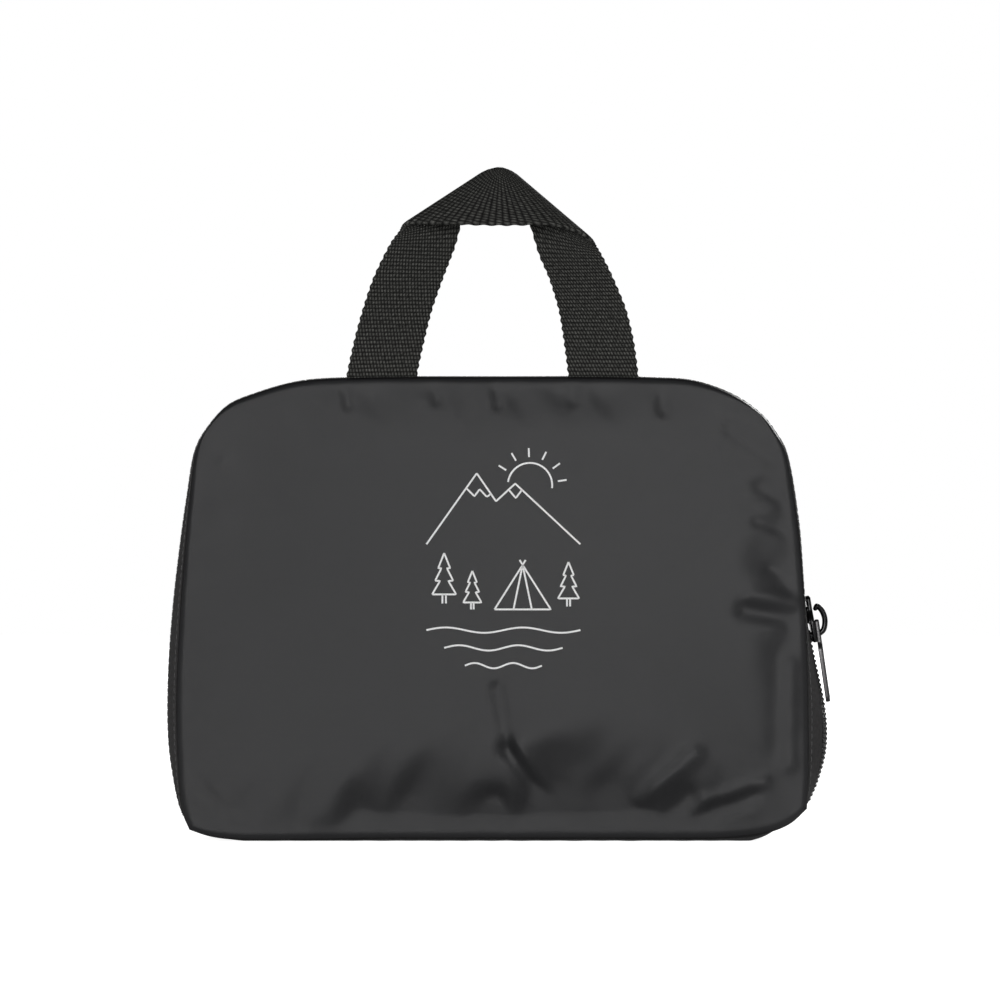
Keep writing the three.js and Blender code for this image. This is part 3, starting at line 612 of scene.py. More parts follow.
def cloth_material():
    """Coated nylon: a fine plain weave, faint slubs along the weft, and a soft satin sheen."""
    material, tree, shader = node_material("coated_nylon")
    lengths, split = cloth_lengths(tree)
    warp = compute(tree, "SINE", compute(tree, "MULTIPLY", split["X"], 2 * math.pi / WARP_THREAD))
    weft = compute(tree, "SINE", compute(tree, "MULTIPLY", split["Y"], 2 * math.pi / WEFT_THREAD))
    add_bump(tree, shader, compute(tree, "MULTIPLY", warp, weft), 0.5, 0.05 * MM)
    stretch = add_node(tree, "ShaderNodeMapping", {"Scale": SLUB_STRETCH, "Vector": lengths})
    slubs = mapped(tree, noise(tree, stretch.outputs[0], 1, 3), 0.96, 1.04, 0.3, 0.7)
    set_inputs(tree, shader, {
        "Base Color": tinted(tree, CLOTH_COLOR, slubs), "Roughness": 0.41, "Specular IOR Level": 0.5,
    })
    return material


cloth = cloth_material()
print("cloth color:", CLOTH_COLOR[:3])


# %% Make both panels
CREASE_FADE = 5 * MM
BUNDLE_AIR = 0.2 * MM
SOFT_CONTACT = 0.8 * MM


def edge_normals(normal, places):
    """Turns the normals along the seam to lie in its plane, so that the wall stays inside the outline."""
    whole = slice(None)
    for edge, turn in (((0, whole), 1), ((-1, whole), -1), ((whole, 0), -1), ((whole, -1), 1)):
        way = np.gradient(places[edge], axis=0)
        way /= np.linalg.norm(way, axis=1, keepdims=True)
        normal[edge] = turn * np.stack([-way[:, 1], 0 * way[:, 0], way[:, 0]], axis=-1)
    return normal


def make_panel(name, side, creases, slack_spots, seed):
    outer = refine(soften(fill_cloth(name + "_sheet", side, slack_spots, seed), 5))
    places, s, t = seam_grid(PANEL_COLUMNS, PANEL_ROWS)
    distance = seam_distance(s, t)
    crease = crease_rise(outer[..., ::2], creases) * fade_in(distance, CREASE_FADE)
    turn_out = 0.5 * np.minimum(distance, 2 * CLOTH)
    least = np.maximum(DEPTH / 2 + turn_out, bundle_height(s, t) + CLOTH + BUNDLE_AIR)
    spare = side * outer[..., 1] + crease - least
    # A soft maximum: the cloth rests on the bundle without a kink where it leaves it
    soft_spare = (spare + np.hypot(spare, SOFT_CONTACT)) / 2 * fade_in(distance, 2 * CLOTH)
    outer[..., 1] = side * np.where(turn_out > 0, least + soft_spare, DEPTH / 2)
    normal = edge_normals(grid_normals(outer) * -side, places)
    rise = side * outer[..., 1] - DEPTH / 2
    print(name, "most rise mm:", round(float(rise.max()) / MM, 1))
    return wall_object(name, outer, outer - normal * CLOTH, places)


front_cloth = make_panel("front_cloth", -1, FRONT_CREASES, FRONT_SLACK, 11)
dress(front_cloth, POUCH, "cloth", cloth, "front_panel")
back_cloth = make_panel("back_cloth", 1, BACK_CREASES, BACK_SLACK, 47)
dress(back_cloth, POUCH, "cloth", cloth, "back_panel")

# %% [markdown]
# ## The gusset
# Between the panels runs a gusset. At the sides and over the top it is the two tapes of the zip, and
# under the pouch it is a strip of the panels' own cloth. The rim of the seam has a place and a direction
# outwards at every station, so one function can lay a tape, a tooth or a stitch anywhere on the gusset,
# given how far along, how deep and how high it lies.

# %% The rim and the gusset's surface
STATIONS_UP = 62
STATIONS_DOWN = 26
STATIONS = STATIONS_UP + STATIONS_DOWN
STATION = UPPER_LENGTH / STATIONS_UP
TAPE_EDGE = DEPTH / 2 - SEAM_GAP
TAPE_WALL = 1.0 * MM
COIL_ROW = 2.6 * MM
COIL_HIGH = 0.5 * MM
COIL_LOW = -1.5 * MM
CHAIN = 4.2 * MM
MOUTH = 6 * MM
SLIDER_DROP = 63.8 * MM
SLIDER_LENGTH = 16 * MM
POST_WIDTH = 2.4 * MM
POST_LENGTH = 3.6 * MM
RUN_CLEAR = 0.35 * MM

# Columns: share along the upper seam, how far the gusset stands out as a share of its depth, and how much of
# that rise is a straight flare
GUSSET_ROWS = [
    (0, 0.01, 0), (0.033, 0.065, 0), (0.06, 0.098, 0), (0.1, 0.104, 0), (0.15, 0.096, 0), (0.21, 0.066, 0),
    (0.275, 0.03, 0), (0.34, 0.012, 0), (0.69, 0.012, 0), (0.79, 0.03, 0), (0.847, 0.02, 0),
    (0.866, 0.034, 0.1), (0.884, 0.065, 0.2), (0.922, 0.14, 0.3), (0.943, 0.15, 0.45), (0.962, 0.14, 0.45),
    (0.983, 0.085, 0.4), (1, 0.015, 0.4),
]


def rim_place(position):
    """Places (x, z) on the closed rim, at positions counted in stations."""
    position = np.mod(position, STATIONS)
    up = upper_at(np.clip(position / STATIONS_UP, 0, 1))
    down = lower_at(np.clip(1 - (position - STATIONS_UP) / STATIONS_DOWN, 0, 1))
    return np.where((position <= STATIONS_UP)[..., None], up, down)


def rim_normal(position):
    way = rim_place(position + 0.5) - rim_place(position - 0.5)
    normal = np.stack([-way[..., 1], way[..., 0]], axis=-1)
    return normal / np.linalg.norm(normal, axis=-1, keepdims=True)


def read_table(table, column, along):
    """One column of a table, on a smooth curve through its rows."""
    rows = np.array(table, float)
    x = rows[:, 0]
    y = rows[:, column]
    before = np.maximum(np.arange(len(x)) - 1, 0)
    after = np.minimum(np.arange(len(x)) + 1, len(x) - 1)
    slope = (y[after] - y[before]) / (x[after] - x[before])
    i = np.clip(np.searchsorted(x, along, side="right") - 1, 0, len(x) - 2)
    width = x[i + 1] - x[i]
    t = np.clip((along - x[i]) / width, 0, 1)
    ease = t * t * (3 - 2 * t)
    bend = t * (1 - t) ** 2 * width * slope[i] + t * t * (t - 1) * width * slope[i + 1]
    return y[i] * (1 - ease) + y[i + 1] * ease + bend


closed_split = CHAIN / 2 + SEAM_GAP
post_split = POST_WIDTH / 2 + COIL_ROW + 2 * SEAM_GAP
slider_share = 1 - SLIDER_DROP / UPPER_LENGTH
post_share = slider_share + (SLIDER_LENGTH / 2 - POST_LENGTH - RUN_CLEAR) / UPPER_LENGTH
foot_share = slider_share + SLIDER_LENGTH / 2 / UPPER_LENGTH
SPLIT_ROWS = [
    (0, closed_split), (slider_share - SLIDER_LENGTH / 4 / UPPER_LENGTH, closed_split),
    (post_share, post_split), (foot_share, post_split), ((foot_share + 1) / 2, MOUTH + COIL_ROW),
    (1, closed_split + COIL_ROW / 2),
]


def split_at(position):
    return read_table(SPLIT_ROWS, 1, np.asarray(position, float) / STATIONS_UP)


def on_gusset(position, depth, lift):
    """Places on the outside of the gusset, lifted off it along its normal."""
    position, depth, lift = np.broadcast_arrays(*(np.asarray(v, float) for v in (position, depth, lift)))
    place = rim_place(position)
    normal = rim_normal(position)
    along = position / STATIONS_UP
    bulge = read_table(GUSSET_ROWS, 1, along) * DEPTH
    flare = read_table(GUSSET_ROWS, 2, along)
    run = TAPE_EDGE - split_at(position)
    reach = (TAPE_EDGE - np.abs(depth)) / run
    within = np.clip(reach, 0, 1)
    quarter = math.pi / 2
    out = bulge * ((1 - flare) * np.sin(quarter * within) + flare * within ** 2)
    slope = bulge / run * ((1 - flare) * quarter * np.cos(quarter * within) + flare * 2 * within)
    length = np.hypot(1, slope)
    up = out + np.maximum(reach - 1, 0) * run * slope + lift / length
    side = np.sign(depth)
    return np.stack([
        place[..., 0] + normal[..., 0] * up,
        depth + side * lift * slope / length,
        place[..., 1] + normal[..., 1] * up,
    ], axis=-1)


tape_from = 5 * MM / STATION
tape_to = STATIONS_UP - 1.6 * MM / STATION
chain_to = slider_share * STATIONS_UP
row_from = post_share * STATIONS_UP
print("tape stations:", round(tape_from, 2), round(tape_to, 2), "slider at", round(chain_to, 2))

# %% [markdown]
# ## Zip tapes
# Zip tape is a dense herringbone ribbon, duller and browner than the coated cloth beside it. It bows
# outwards a little at the sides, where nothing stretches it. The strip is a wall between two grids on the
# gusset's surface. The handle's webbing is sewn into the top seam, so the front tape tucks in behind its
# two feet.

# %% Tape material
TAPE_COLOR = (0.054, 0.052, 0.0525, 1)


TAPE_RIB = 0.9 * MM
TAPE_PICK = 0.62 * MM


def tape_material():
    """Herringbone ribbon: slanted picks that turn round at every rib, with light specks of thread."""
    material, tree, shader = node_material("zip_tape_weave")
    lengths, split = cloth_lengths(tree)
    slant = compute(tree, "ADD", split["Y"], compute(tree, "PINGPONG", split["X"], TAPE_RIB))
    picks = compute(tree, "SINE", compute(tree, "MULTIPLY", slant, 2 * math.pi / TAPE_PICK))
    rib_turn = compute(tree, "MULTIPLY", split["X"], math.pi / TAPE_RIB)
    ribs = compute(tree, "ABSOLUTE", compute(tree, "SINE", rib_turn))
    height = compute(tree, "MULTIPLY", picks, ribs)
    add_bump(tree, shader, height, 0.9, 0.09 * MM)
    specks = mapped(tree, noise(tree, lengths, 900, 4), 0.8, 1.2, 0.3, 0.7)
    # Painted shade where the threads dip and painted light on their crests, times random specks of thread
    shade = compute(tree, "MULTIPLY", mapped(tree, height, 0.62, 1.3, -1), specks)
    set_inputs(tree, shader, {
        "Base Color": tinted(tree, TAPE_COLOR, shade), "Roughness": 0.82, "Specular IOR Level": 0.25,
    })
    return material


tape_cloth = tape_material()
print("tape color:", TAPE_COLOR[:3])

# %% Make both tapes
HANDLE_SHIFT = -1.7 * MM
HANDLE_SPAN = 99 * MM
WEBBING = 24 * MM
WEBBING_WALL = 1.8 * MM
TAPE_ROWS = 560
TAPE_COLUMNS = 20
TAPE_WAVER = 0.16 * MM
TAPE_WAVER_LENGTH = 26 * MM
FOOT_CLEAR = 0.4 * MM
FOOT_FADE = 2.5 * MM
TUCK = WEBBING_WALL + 0.5 * MM


def foot_mask(x):
    """1 over the two sewn feet of the handle, 0 elsewhere along the top."""
    total = np.zeros_like(x)
    for side in (-1, 1):
        middle = HANDLE_SHIFT + side * (HANDLE_SPAN - WEBBING) / 2
        past = (np.abs(x - middle) - WEBBING / 2 - FOOT_CLEAR) / FOOT_FADE
        total += 1 / (1 + np.exp(np.clip(past * 6 - 2, -40, 40)))
    return total


def make_tape(name, side):
    position = np.linspace(tape_from, tape_to, TAPE_ROWS + 1)[:, None]
    share = np.linspace(0, 1, TAPE_COLUMNS + 1)[None, :]
    edge = np.full_like(position, TAPE_EDGE)
    if side < 0:
        rim = rim_place(position)
        edge = edge - TUCK * foot_mask(rim[..., 0]) * (rim[..., 1] > HEIGHT / 2)
    depth = edge * (1 - share) + split_at(position) * share
    wave = TAPE_WAVER * ripple(position * STATION / TAPE_WAVER_LENGTH, 5 + side) * np.sin(math.pi * share)
    outer = on_gusset(position, side * depth, wave)
    inner = on_gusset(position, side * depth, wave - TAPE_WALL)
    lengths = np.stack(np.broadcast_arrays(depth, position * STATION), axis=-1)
    return wall_object(name, outer, inner, lengths)


tape_front = make_tape("tape_front", -1)
dress(tape_front, POUCH, "zip_tape", tape_cloth, "zip_tape_front")
tape_rear = make_tape("tape_rear", 1)
dress(tape_rear, POUCH, "zip_tape", tape_cloth, "zip_tape_rear")

# %% [markdown]
# ## Bottom cloth
# The pouch stands on a strip of its own cloth. It lies flat in the middle and turns up round both lower
# corners, where it meets the ends of the tapes.

# %% Bottom cloth
BASE_FLAT = 0.64
BASE_SPAN = 0.4
BASE_FADE = 0.04
BASE_WAVER = 0.14 * MM
BASE_WAVER_LENGTH = 13 * MM


def on_base(position, share, lift):
    place = rim_place(position)
    normal = rim_normal(position)
    beyond = np.abs(place[..., 0]) / WIDTH - BASE_SPAN
    settle = np.clip(1 - beyond / BASE_FADE, 0, 1)
    curl = np.clip((np.abs(share) - BASE_FLAT) / (1 - BASE_FLAT), 0, 1)
    z = place[..., 1] * (1 - settle * (1 - curl * curl))
    return np.stack([
        place[..., 0] + normal[..., 0] * lift,
        share * TAPE_EDGE + 0 * z,
        z + normal[..., 1] * lift,
    ], axis=-1)


BASE_ROWS = 260
base_ends = (tape_to + SEAM_GAP / STATION, STATIONS + tape_from - SEAM_GAP / STATION)
base_position = np.linspace(*base_ends, BASE_ROWS)[:, None]
base_share = np.linspace(-1, 1, 41)[None, :]
base_ripple = ripple(base_position * STATION / BASE_WAVER_LENGTH + base_share, 23)
base_wave = BASE_WAVER * (1 + base_ripple) * np.abs(base_share) ** 3
base_outer = on_base(base_position, base_share, -base_wave)
base_inner = on_base(base_position, base_share, -base_wave - CLOTH)
base_lengths = np.stack(np.broadcast_arrays(base_position * STATION, base_share * TAPE_EDGE), axis=-1)
base_cloth = wall_object("base_cloth", base_outer, base_inner, base_lengths)
dress(base_cloth, POUCH, "cloth", cloth, "bottom_gusset")

# %% [markdown]
# ## Repeats along a path
# Zip teeth and stitches are one small shape repeated at an even pitch. Geometry Nodes do this well: the
# path is a line of points that carry their outward direction, the line becomes a curve, the curve is
# resampled to the pitch, and each point gets one copy, turned to face outwards and along the path. The
# copies are made real at the end, so the result is a plain mesh.

# %% The tree that repeats a shape
def path_object(name, places, outward):
    path = mesh_object(name, places, [], [(i, i + 1) for i in range(len(places) - 1)])
    layer = path.data.attributes.new("outward", "FLOAT_VECTOR", "POINT")
    layer.data.foreach_set("vector", np.asarray(outward, np.float32).ravel())
    return path


def new_tree(name, inputs, output):
    """A Geometry Nodes tree with named inputs. Gives the tree, the inputs' identifiers and their outputs."""
    tree = bpy.data.node_groups.new(name, "GeometryNodeTree")
    keys = {}
    for word, kind in inputs.items():
        socket = tree.interface.new_socket(word, in_out="INPUT", socket_type="NodeSocket" + kind)
        keys[word] = socket.identifier
    tree.interface.new_socket(output, in_out="OUTPUT", socket_type="NodeSocketGeometry")
    return tree, keys, add_node(tree, "NodeGroupInput", {}).outputs


def end_tree(tree, geometry, material):
    """Makes copies real, gives them their material and puts them out."""
    real = add_node(tree, "GeometryNodeRealizeInstances", {0: geometry})
    paint = add_node(tree, "GeometryNodeSetMaterial", {"Geometry": real.outputs[0], "Material": material})
    add_node(tree, "NodeGroupOutput", {0: paint.outputs[0]})


def even_curve(tree, path, step):
    """A line of points as a curve with a point at every step."""
    curve = add_node(tree, "GeometryNodeMeshToCurve", {0: path})
    inputs = {"Curve": curve.outputs[0], "Length": step}
    return add_node(tree, "GeometryNodeResampleCurve", inputs, mode="LENGTH").outputs[0]


def repeat_tree():
    tree, keys, given = new_tree("repeat_along_path", {
        "Path": "Geometry", "Shape": "Object", "Pitch": "Float", "Material": "Material",
    }, "Repeats")
    points = even_curve(tree, given["Path"], given["Pitch"])
    shape = add_node(tree, "GeometryNodeObjectInfo", {"Object": given["Shape"]})
    outward = add_node(tree, "GeometryNodeInputNamedAttribute", {"Name": "outward"}, data_type="FLOAT_VECTOR")
    align = "FunctionNodeAlignRotationToVector"
    face = add_node(tree, align, {"Vector": outward.outputs["Attribute"]}, axis="Z")
    tangent = add_node(tree, "GeometryNodeInputTangent", {})
    turns = {"Rotation": face.outputs[0], "Vector": tangent.outputs[0]}
    along = add_node(tree, align, turns, axis="X", pivot_axis="Z")
    copies = add_node(tree, "GeometryNodeInstanceOnPoints", {
        "Points": points, "Instance": shape.outputs["Geometry"], "Rotation": along.outputs[0],
    })
    end_tree(tree, copies.outputs[0], given["Material"])
    return tree, keys


REPEAT, REPEAT_KEYS = repeat_tree()


def baked(name, source):
    """The evaluated object as a plain mesh of its own, in place of its source."""
    bpy.context.view_layer.update()
    mesh = bpy.data.meshes.new_from_object(source.evaluated_get(bpy.context.evaluated_depsgraph_get()))
    piece = bpy.data.objects.new(name, mesh)
    scene.collection.objects.link(piece)
    bpy.data.objects.remove(source)
    return piece


def run_tree(name, source, tree, keys, values):
    """Runs a tree on an object and gives the result as a plain mesh."""
    modifier = source.modifiers.new("tree", "NODES")
    modifier.node_group = tree
    for word, value in values.items():
        modifier[keys[word]] = value
    return baked(name, source)


def repeat(name, path, shape, pitch, material):
    return run_tree(name, path, REPEAT, REPEAT_KEYS, {"Shape": shape, "Pitch": pitch, "Material": material})


def join(name, pieces):
    """One mesh from several pieces, which are removed."""
    shape = bmesh.new()
    for piece in pieces:
        shape.from_mesh(piece.data)
    mesh = bpy.data.meshes.new(name)
    shape.to_mesh(mesh)
    shape.free()
    mesh.shade_smooth()
    for piece in pieces:
        bpy.data.objects.remove(piece)
    whole = bpy.data.objects.new(name, mesh)
    scene.collection.objects.link(whole)
    return whole


print("inputs of the tree:", list(REPEAT_KEYS))

# %% [markdown]
# ## Zip teeth
# The chain is one long nylon spiral on each side. From outside, each turn shows as a small rounded bar
# that ends in a head, and the heads of both sides lock between each other. The bars are glossy black, so
# each one catches a point of light. One bar is modelled and repeated on both sides, half a pitch apart.

# %% One tooth
TOOTH_PITCH = 1.67 * MM


def tube_object(name, rings):
    """A closed tube through rings of points, with flat ends."""
    rings = np.array(rings)
    count, sides = rings.shape[:2]
    index = np.arange(count * sides).reshape(count, sides)
    after = np.roll(index, -1, axis=1)
    faces = np.stack([index[:-1], index[1:], after[1:], after[:-1]], axis=-1).reshape(-1, 4).tolist()
    faces += [index[0].tolist(), index[-1, ::-1].tolist()]
    points = rings.reshape(-1, 3)
    piece = mesh_object(name, points, faces)
    if signed_volume(points, faces) < 0:
        piece.data.flip_normals()
    return piece


def rounded_bar(name, stations, sides=10):
    """A closed bar along Y through rings given as (y, half width in X, half height in Z, middle in Z)."""
    around = 2 * math.pi * np.arange(sides) / sides
    return tube_object(name, [
        np.stack([half_x * np.cos(around), np.full(sides, y), middle + half_z * np.sin(around)], axis=-1)
        for y, half_x, half_z, middle in stations
    ])


def tooth(name, base, head, swell=1.0):
    """A tooth from its sewn end at base to its head at head, both places across the zip."""
    way = 1 if head > base else -1
    run = abs(head - base)
    shares = [0, 0.04, 0.15, 0.5, 0.68, 0.8, 0.92, 0.985, 1]
    wide = [0.1, 0.26, 0.36, 0.38, 0.42, 0.56, 0.56, 0.34, 0.1]
    tall = [0.1, 0.45, 0.72, 0.82, 0.86, 0.9, 0.86, 0.5, 0.1]
    rows = [(base + way * run * s, swell * w * MM, h * MM, -0.42 * MM) for s, w, h in zip(shares, wide, tall)]
    return rounded_bar(name, rows)


front_tooth = tooth("front_tooth", -CHAIN / 2, 0.55 * MM)
rear_tooth = tooth("rear_tooth", CHAIN / 2, -0.55 * MM)
print("faces in a tooth:", len(front_tooth.data.polygons))

# %% Coil material
def coil_material():
    material, tree, shader = node_material("black_nylon_coil")
    grain = noise(tree, object_place(tree), 900, 2)
    set_inputs(tree, shader, {
        "Base Color": mapped(tree, grain, 0.006, 0.016), "Roughness": mapped(tree, grain, 0.18, 0.34),
        "Specular IOR Level": 0.6, "Coat Weight": 0.4, "Coat Roughness": 0.12,
    })
    return material


coil_nylon = coil_material()
print("coil material made")

# %% Chain and open rows
CORE_HIGH = -0.5 * MM


def gusset_path(name, start, end, depth_at, step=0.25):
    """A path on the gusset with its outward directions. depth_at gives its depth at each position."""
    position = np.arange(start, end, step)
    depth = depth_at(position) + 0 * position
    places = on_gusset(position, depth, 0)
    outward = on_gusset(position, depth, 1 * MM) - places
    return path_object(name, places, outward / np.linalg.norm(outward, axis=-1, keepdims=True))


def coil_core(name, start, end, near, far, side=1, high=CORE_HIGH):
    """The strip of sewing under the coil, between two depths that may change along it."""
    position = np.linspace(start, end, max(int((end - start) * 4), 8))[:, None]
    share = np.linspace(0, 1, 5)[None, :]
    depth = side * (near(position) * (1 - share) + far(position) * share)
    outer = on_gusset(position, depth, high)
    inner = on_gusset(position, depth, COIL_LOW)
    return wall_object(name, outer, inner)


def chain_side(word, start, shape):
    path = gusset_path(word + "_path", start, chain_to, lambda p: 0.0)
    return repeat(word + "_chain", path, shape, TOOTH_PITCH, coil_nylon)


half_pitch = TOOTH_PITCH / 2 / STATION
front_chain = chain_side("front", tape_from, front_tooth)
rear_chain = chain_side("rear", tape_from + half_pitch, rear_tooth)
core_edge = CHAIN / 2 - 0.2 * MM
core = coil_core("core", tape_from, chain_to, lambda p: -core_edge, lambda p: core_edge)
chain_teeth = join("chain_teeth", [front_chain, rear_chain, core])
dress(chain_teeth, POUCH, "coil", coil_nylon, "zip_chain")

# %% Open rows below the slider
ROW_SWELL = 1.4
ROW_CORE_HIGH = 0
ROW_CORE_NEAR = 0.7 * MM / COIL_ROW
ROW_CORE_FAR = 0.94
front_row_tooth = tooth("front_row_tooth", -COIL_ROW / 2, COIL_ROW / 2, ROW_SWELL)
rear_row_tooth = tooth("rear_row_tooth", COIL_ROW / 2, -COIL_ROW / 2, ROW_SWELL)


def open_row(name, side, shape, node):
    def edge(share):
        """The depth of a line at a share of the row's width in from the mouth's edge."""
        return lambda p: split_at(p) - SEAM_GAP - share * COIL_ROW

    path = gusset_path(name + "_path", row_from, tape_to, lambda p: side * edge(0.5)(p))
    teeth = repeat(name + "_teeth", path, shape, TOOTH_PITCH, coil_nylon)
    strip = coil_core(name + "_core", row_from, tape_to, edge(ROW_CORE_NEAR), edge(ROW_CORE_FAR), side,
                      ROW_CORE_HIGH)
    return dress(join(name, [teeth, strip]), POUCH, "coil", coil_nylon, node)


open_row("open_teeth_front", -1, front_row_tooth, "zip_row_front")
open_row("open_teeth_rear", 1, rear_row_tooth, "zip_row_rear")
for used in (front_tooth, rear_tooth, front_row_tooth, rear_row_tooth):
    bpy.data.objects.remove(used)

# %% [markdown]
# ## Stitches
# A row of thread holds each tape beside the seam. A stitch is a short bar that dives into the cloth at
# both ends, and the same tree repeats it.

# %% Stitches on the tapes
STITCH_PITCH = 2.6 * MM
THREAD = 0.32 * MM


def thread_material():
    material, tree, shader = node_material("polyester_thread")
    inputs = {"Vector": object_place(tree), "Scale": 900, "Distortion": 1.5}
    twist = add_node(tree, "ShaderNodeTexWave", inputs, bands_direction="DIAGONAL").outputs["Fac"]
    add_bump(tree, shader, twist, 0.6, 0.05 * MM)
    # The colour follows the twist: painted shade in its grooves and painted light on its ridges
    set_inputs(tree, shader, {"Base Color": mapped(tree, twist, 0.05, 0.11), "Roughness": 0.6})
    return material


def stitch_shape(name, length):
    rows = []
    for share in (-1, -0.92, -0.7, -0.35, 0, 0.35, 0.7, 0.92, 1):
        arch = 1 - abs(share) ** 2.4
        thick = THREAD / 2 * (1 - 0.75 * abs(share) ** 6)
        rows.append((share * length / 2, thick, thick, (arch - 0.55) * 0.3 * MM))
    bar = rounded_bar(name, rows, 8)
    bar.data.transform(Matrix.Rotation(math.pi / 2, 4, "Z"))
    return bar


thread = thread_material()
stitch = stitch_shape("stitch", STITCH_PITCH * 0.86)
SEAM_STITCH = 14.9 * MM
COIL_STITCH = 2.9 * MM
rows = []
for side, word in ((-1, "front"), (1, "rear")):
    for kind, depth, end in (("stitch", SEAM_STITCH, tape_to - 0.6), ("coil_stitch", COIL_STITCH, chain_to)):
        path = gusset_path(f"{kind}_path_{word}", tape_from + 0.5, end, lambda p: side * depth)
        rows.append(repeat(f"{kind}_row_{word}", path, stitch, STITCH_PITCH, thread))
tape_stitches = join("tape_stitches", rows)
dress(tape_stitches, POUCH, "zip_tape", thread)
bpy.data.objects.remove(stitch)

# %% [markdown]
# ## Slider
# The slider is a small zinc casting: two plates joined by a post that spreads the rows, lips that turn
# down round the coil, and an open hook for the tab. Flat curves with a bevel make the plates, because a
# bevelled curve keeps its edge round on any outline, and a swept circle that thins to its tip makes the
# hook.

# %% Slider's own frame
PLATE = 1.4 * MM
plate_out = COIL_HIGH + RUN_CLEAR
plate_in = COIL_LOW - RUN_CLEAR
plate_top = plate_out + PLATE
slider_position = slider_share * STATIONS_UP
half_slider = SLIDER_LENGTH / 2 / STATION
slider_base = Vector(on_gusset(slider_position, 0.0, 0.0))
slider_above = Vector(on_gusset(slider_position - half_slider, 0.0, 0.0))
slider_below = Vector(on_gusset(slider_position + half_slider, 0.0, 0.0))
slider_turn = math.atan2(slider_above.x - slider_below.x, slider_above.z - slider_below.z)
# X out of the gusset, Y across the zip, Z up the zip
SLIDER_FRAME = Matrix.Translation(slider_base) @ Matrix.Rotation(slider_turn, 4, "Y")
print("slider turned by degrees:", round(math.degrees(slider_turn), 2))


# %% Bevelled plates from outlines
def corner_line(corners, steps=5):
    """A closed outline from (y, z, radius) corners, each rounded by a quadratic curve."""
    line = []
    count = len(corners)
    for i, (y, z, radius) in enumerate(corners):
        here = np.array([y, z])
        before = np.array(corners[i - 1][:2]) - here
        after = np.array(corners[(i + 1) % count][:2]) - here
        reach = min(radius, 0.49 * np.linalg.norm(before), 0.49 * np.linalg.norm(after))
        if reach <= 0:
            line.append(here)
            continue
        a = here + before / np.linalg.norm(before) * reach
        b = here + after / np.linalg.norm(after) * reach
        for t in np.linspace(0, 1, steps):
            line.append((1 - t) ** 2 * a + 2 * t * (1 - t) * here + t ** 2 * b)
    return np.array(line)


def plate_piece(name, outlines, low, wall, bevel, steps=3):
    """Outlines drawn across (Y) and up (Z), given a thickness along X with rounded edges."""
    curve = bpy.data.curves.new(name, "CURVE")
    curve.dimensions = "2D"
    curve.fill_mode = "BOTH"
    curve.extrude = wall / 2 - bevel
    curve.bevel_depth = bevel
    curve.bevel_resolution = steps
    curve.offset = -bevel
    for outline in outlines:
        spline = curve.splines.new("POLY")
        spline.points.add(len(outline) - 1)
        spline.points.foreach_set("co", np.array([(y, z, 0, 1) for y, z in outline], np.float32).ravel())
        spline.use_cyclic_u = True
    flat = bpy.data.objects.new(name + "_flat", curve)
    scene.collection.objects.link(flat)
    piece = baked(name, flat)
    turn = Matrix(((0, 0, 1, low + wall / 2), (1, 0, 0, 0), (0, 1, 0, 0), (0, 0, 0, 1)))
    piece.data.transform(turn)
    tidy_mesh(piece)
    return piece


def tidy_mesh(piece, distance=1e-6):
    shape = bmesh.new()
    shape.from_mesh(piece.data)
    bmesh.ops.remove_doubles(shape, verts=shape.verts, dist=distance)
    bmesh.ops.recalc_face_normals(shape, faces=shape.faces)
    shape.to_mesh(piece.data)
    shape.free()


top = SLIDER_LENGTH / 2
shoulder = 12.5 * MM / 2
neck = 9 * MM / 2
plate_line = corner_line([
    (-shoulder, -top, PLATE), (shoulder, -top, PLATE), (shoulder, 0, 3 * MM), (neck, top / 3, 3 * MM),
    (neck, top, PLATE), (-neck, top, PLATE), (-neck, top / 3, 3 * MM), (-shoulder, 0, 3 * MM),
])
print("points in the plate's outline:", len(plate_line))

# %% Slider body and hook
HOOK_WIRE = 1.9 * MM
HOOK_LENGTH = 10.2 * MM
HOOK_REACH = 3.9 * MM
HOOK_SINK = 0.55 * MM
# From the root to near the tip: shares of the reach off the plate and of the length
HOOK_ROWS = [(0.2, 0.02), (0.72, 0.125), (1, 0.45), (0.86, 0.78), (0.5, 0.95)]
HOOK_TIP = 0.88
hook_foot = -HOOK_LENGTH / 2 - HOOK_SINK


def swept_tube(name, path, radii, sides=14, flat=1.0):
    """A round-ended tube in the plane Y = 0 along a path of (x, z). flat widens it across that plane."""
    path = np.asarray(path)
    way = np.gradient(path, axis=0)
    way /= np.linalg.norm(way, axis=1, keepdims=True)
    cap = [(math.cos(turn), math.sin(turn)) for turn in math.pi / 2 * np.arange(4) / 4]
    spine = [(path[0] - way[0] * radii[0] * past, way[0], radii[0] * size + 1e-6) for past, size in cap]
    spine += list(zip(path, way, radii))
    cap.reverse()
    spine += [(path[-1] + way[-1] * radii[-1] * past, way[-1], radii[-1] * size + 1e-6) for past, size in cap]
    around = 2 * math.pi * np.arange(sides) / sides
    rings = []
    for place, direction, radius in spine:
        across = radius * np.cos(around)
        x = place[0] - direction[1] * across
        z = place[1] + direction[0] * across
        rings.append(np.stack([x, flat * radius * np.sin(around), z], axis=-1))
    return tube_object(name, rings)


PLATE_BEVEL = 0.42 * MM
POST_INSET = 0.3 * MM
POST_OVERLAP = 0.2 * MM
LIP_WALL = 0.9 * MM
LIP_EDGE = 0.22 * MM
LIP_OVERLAP = 0.4 * MM

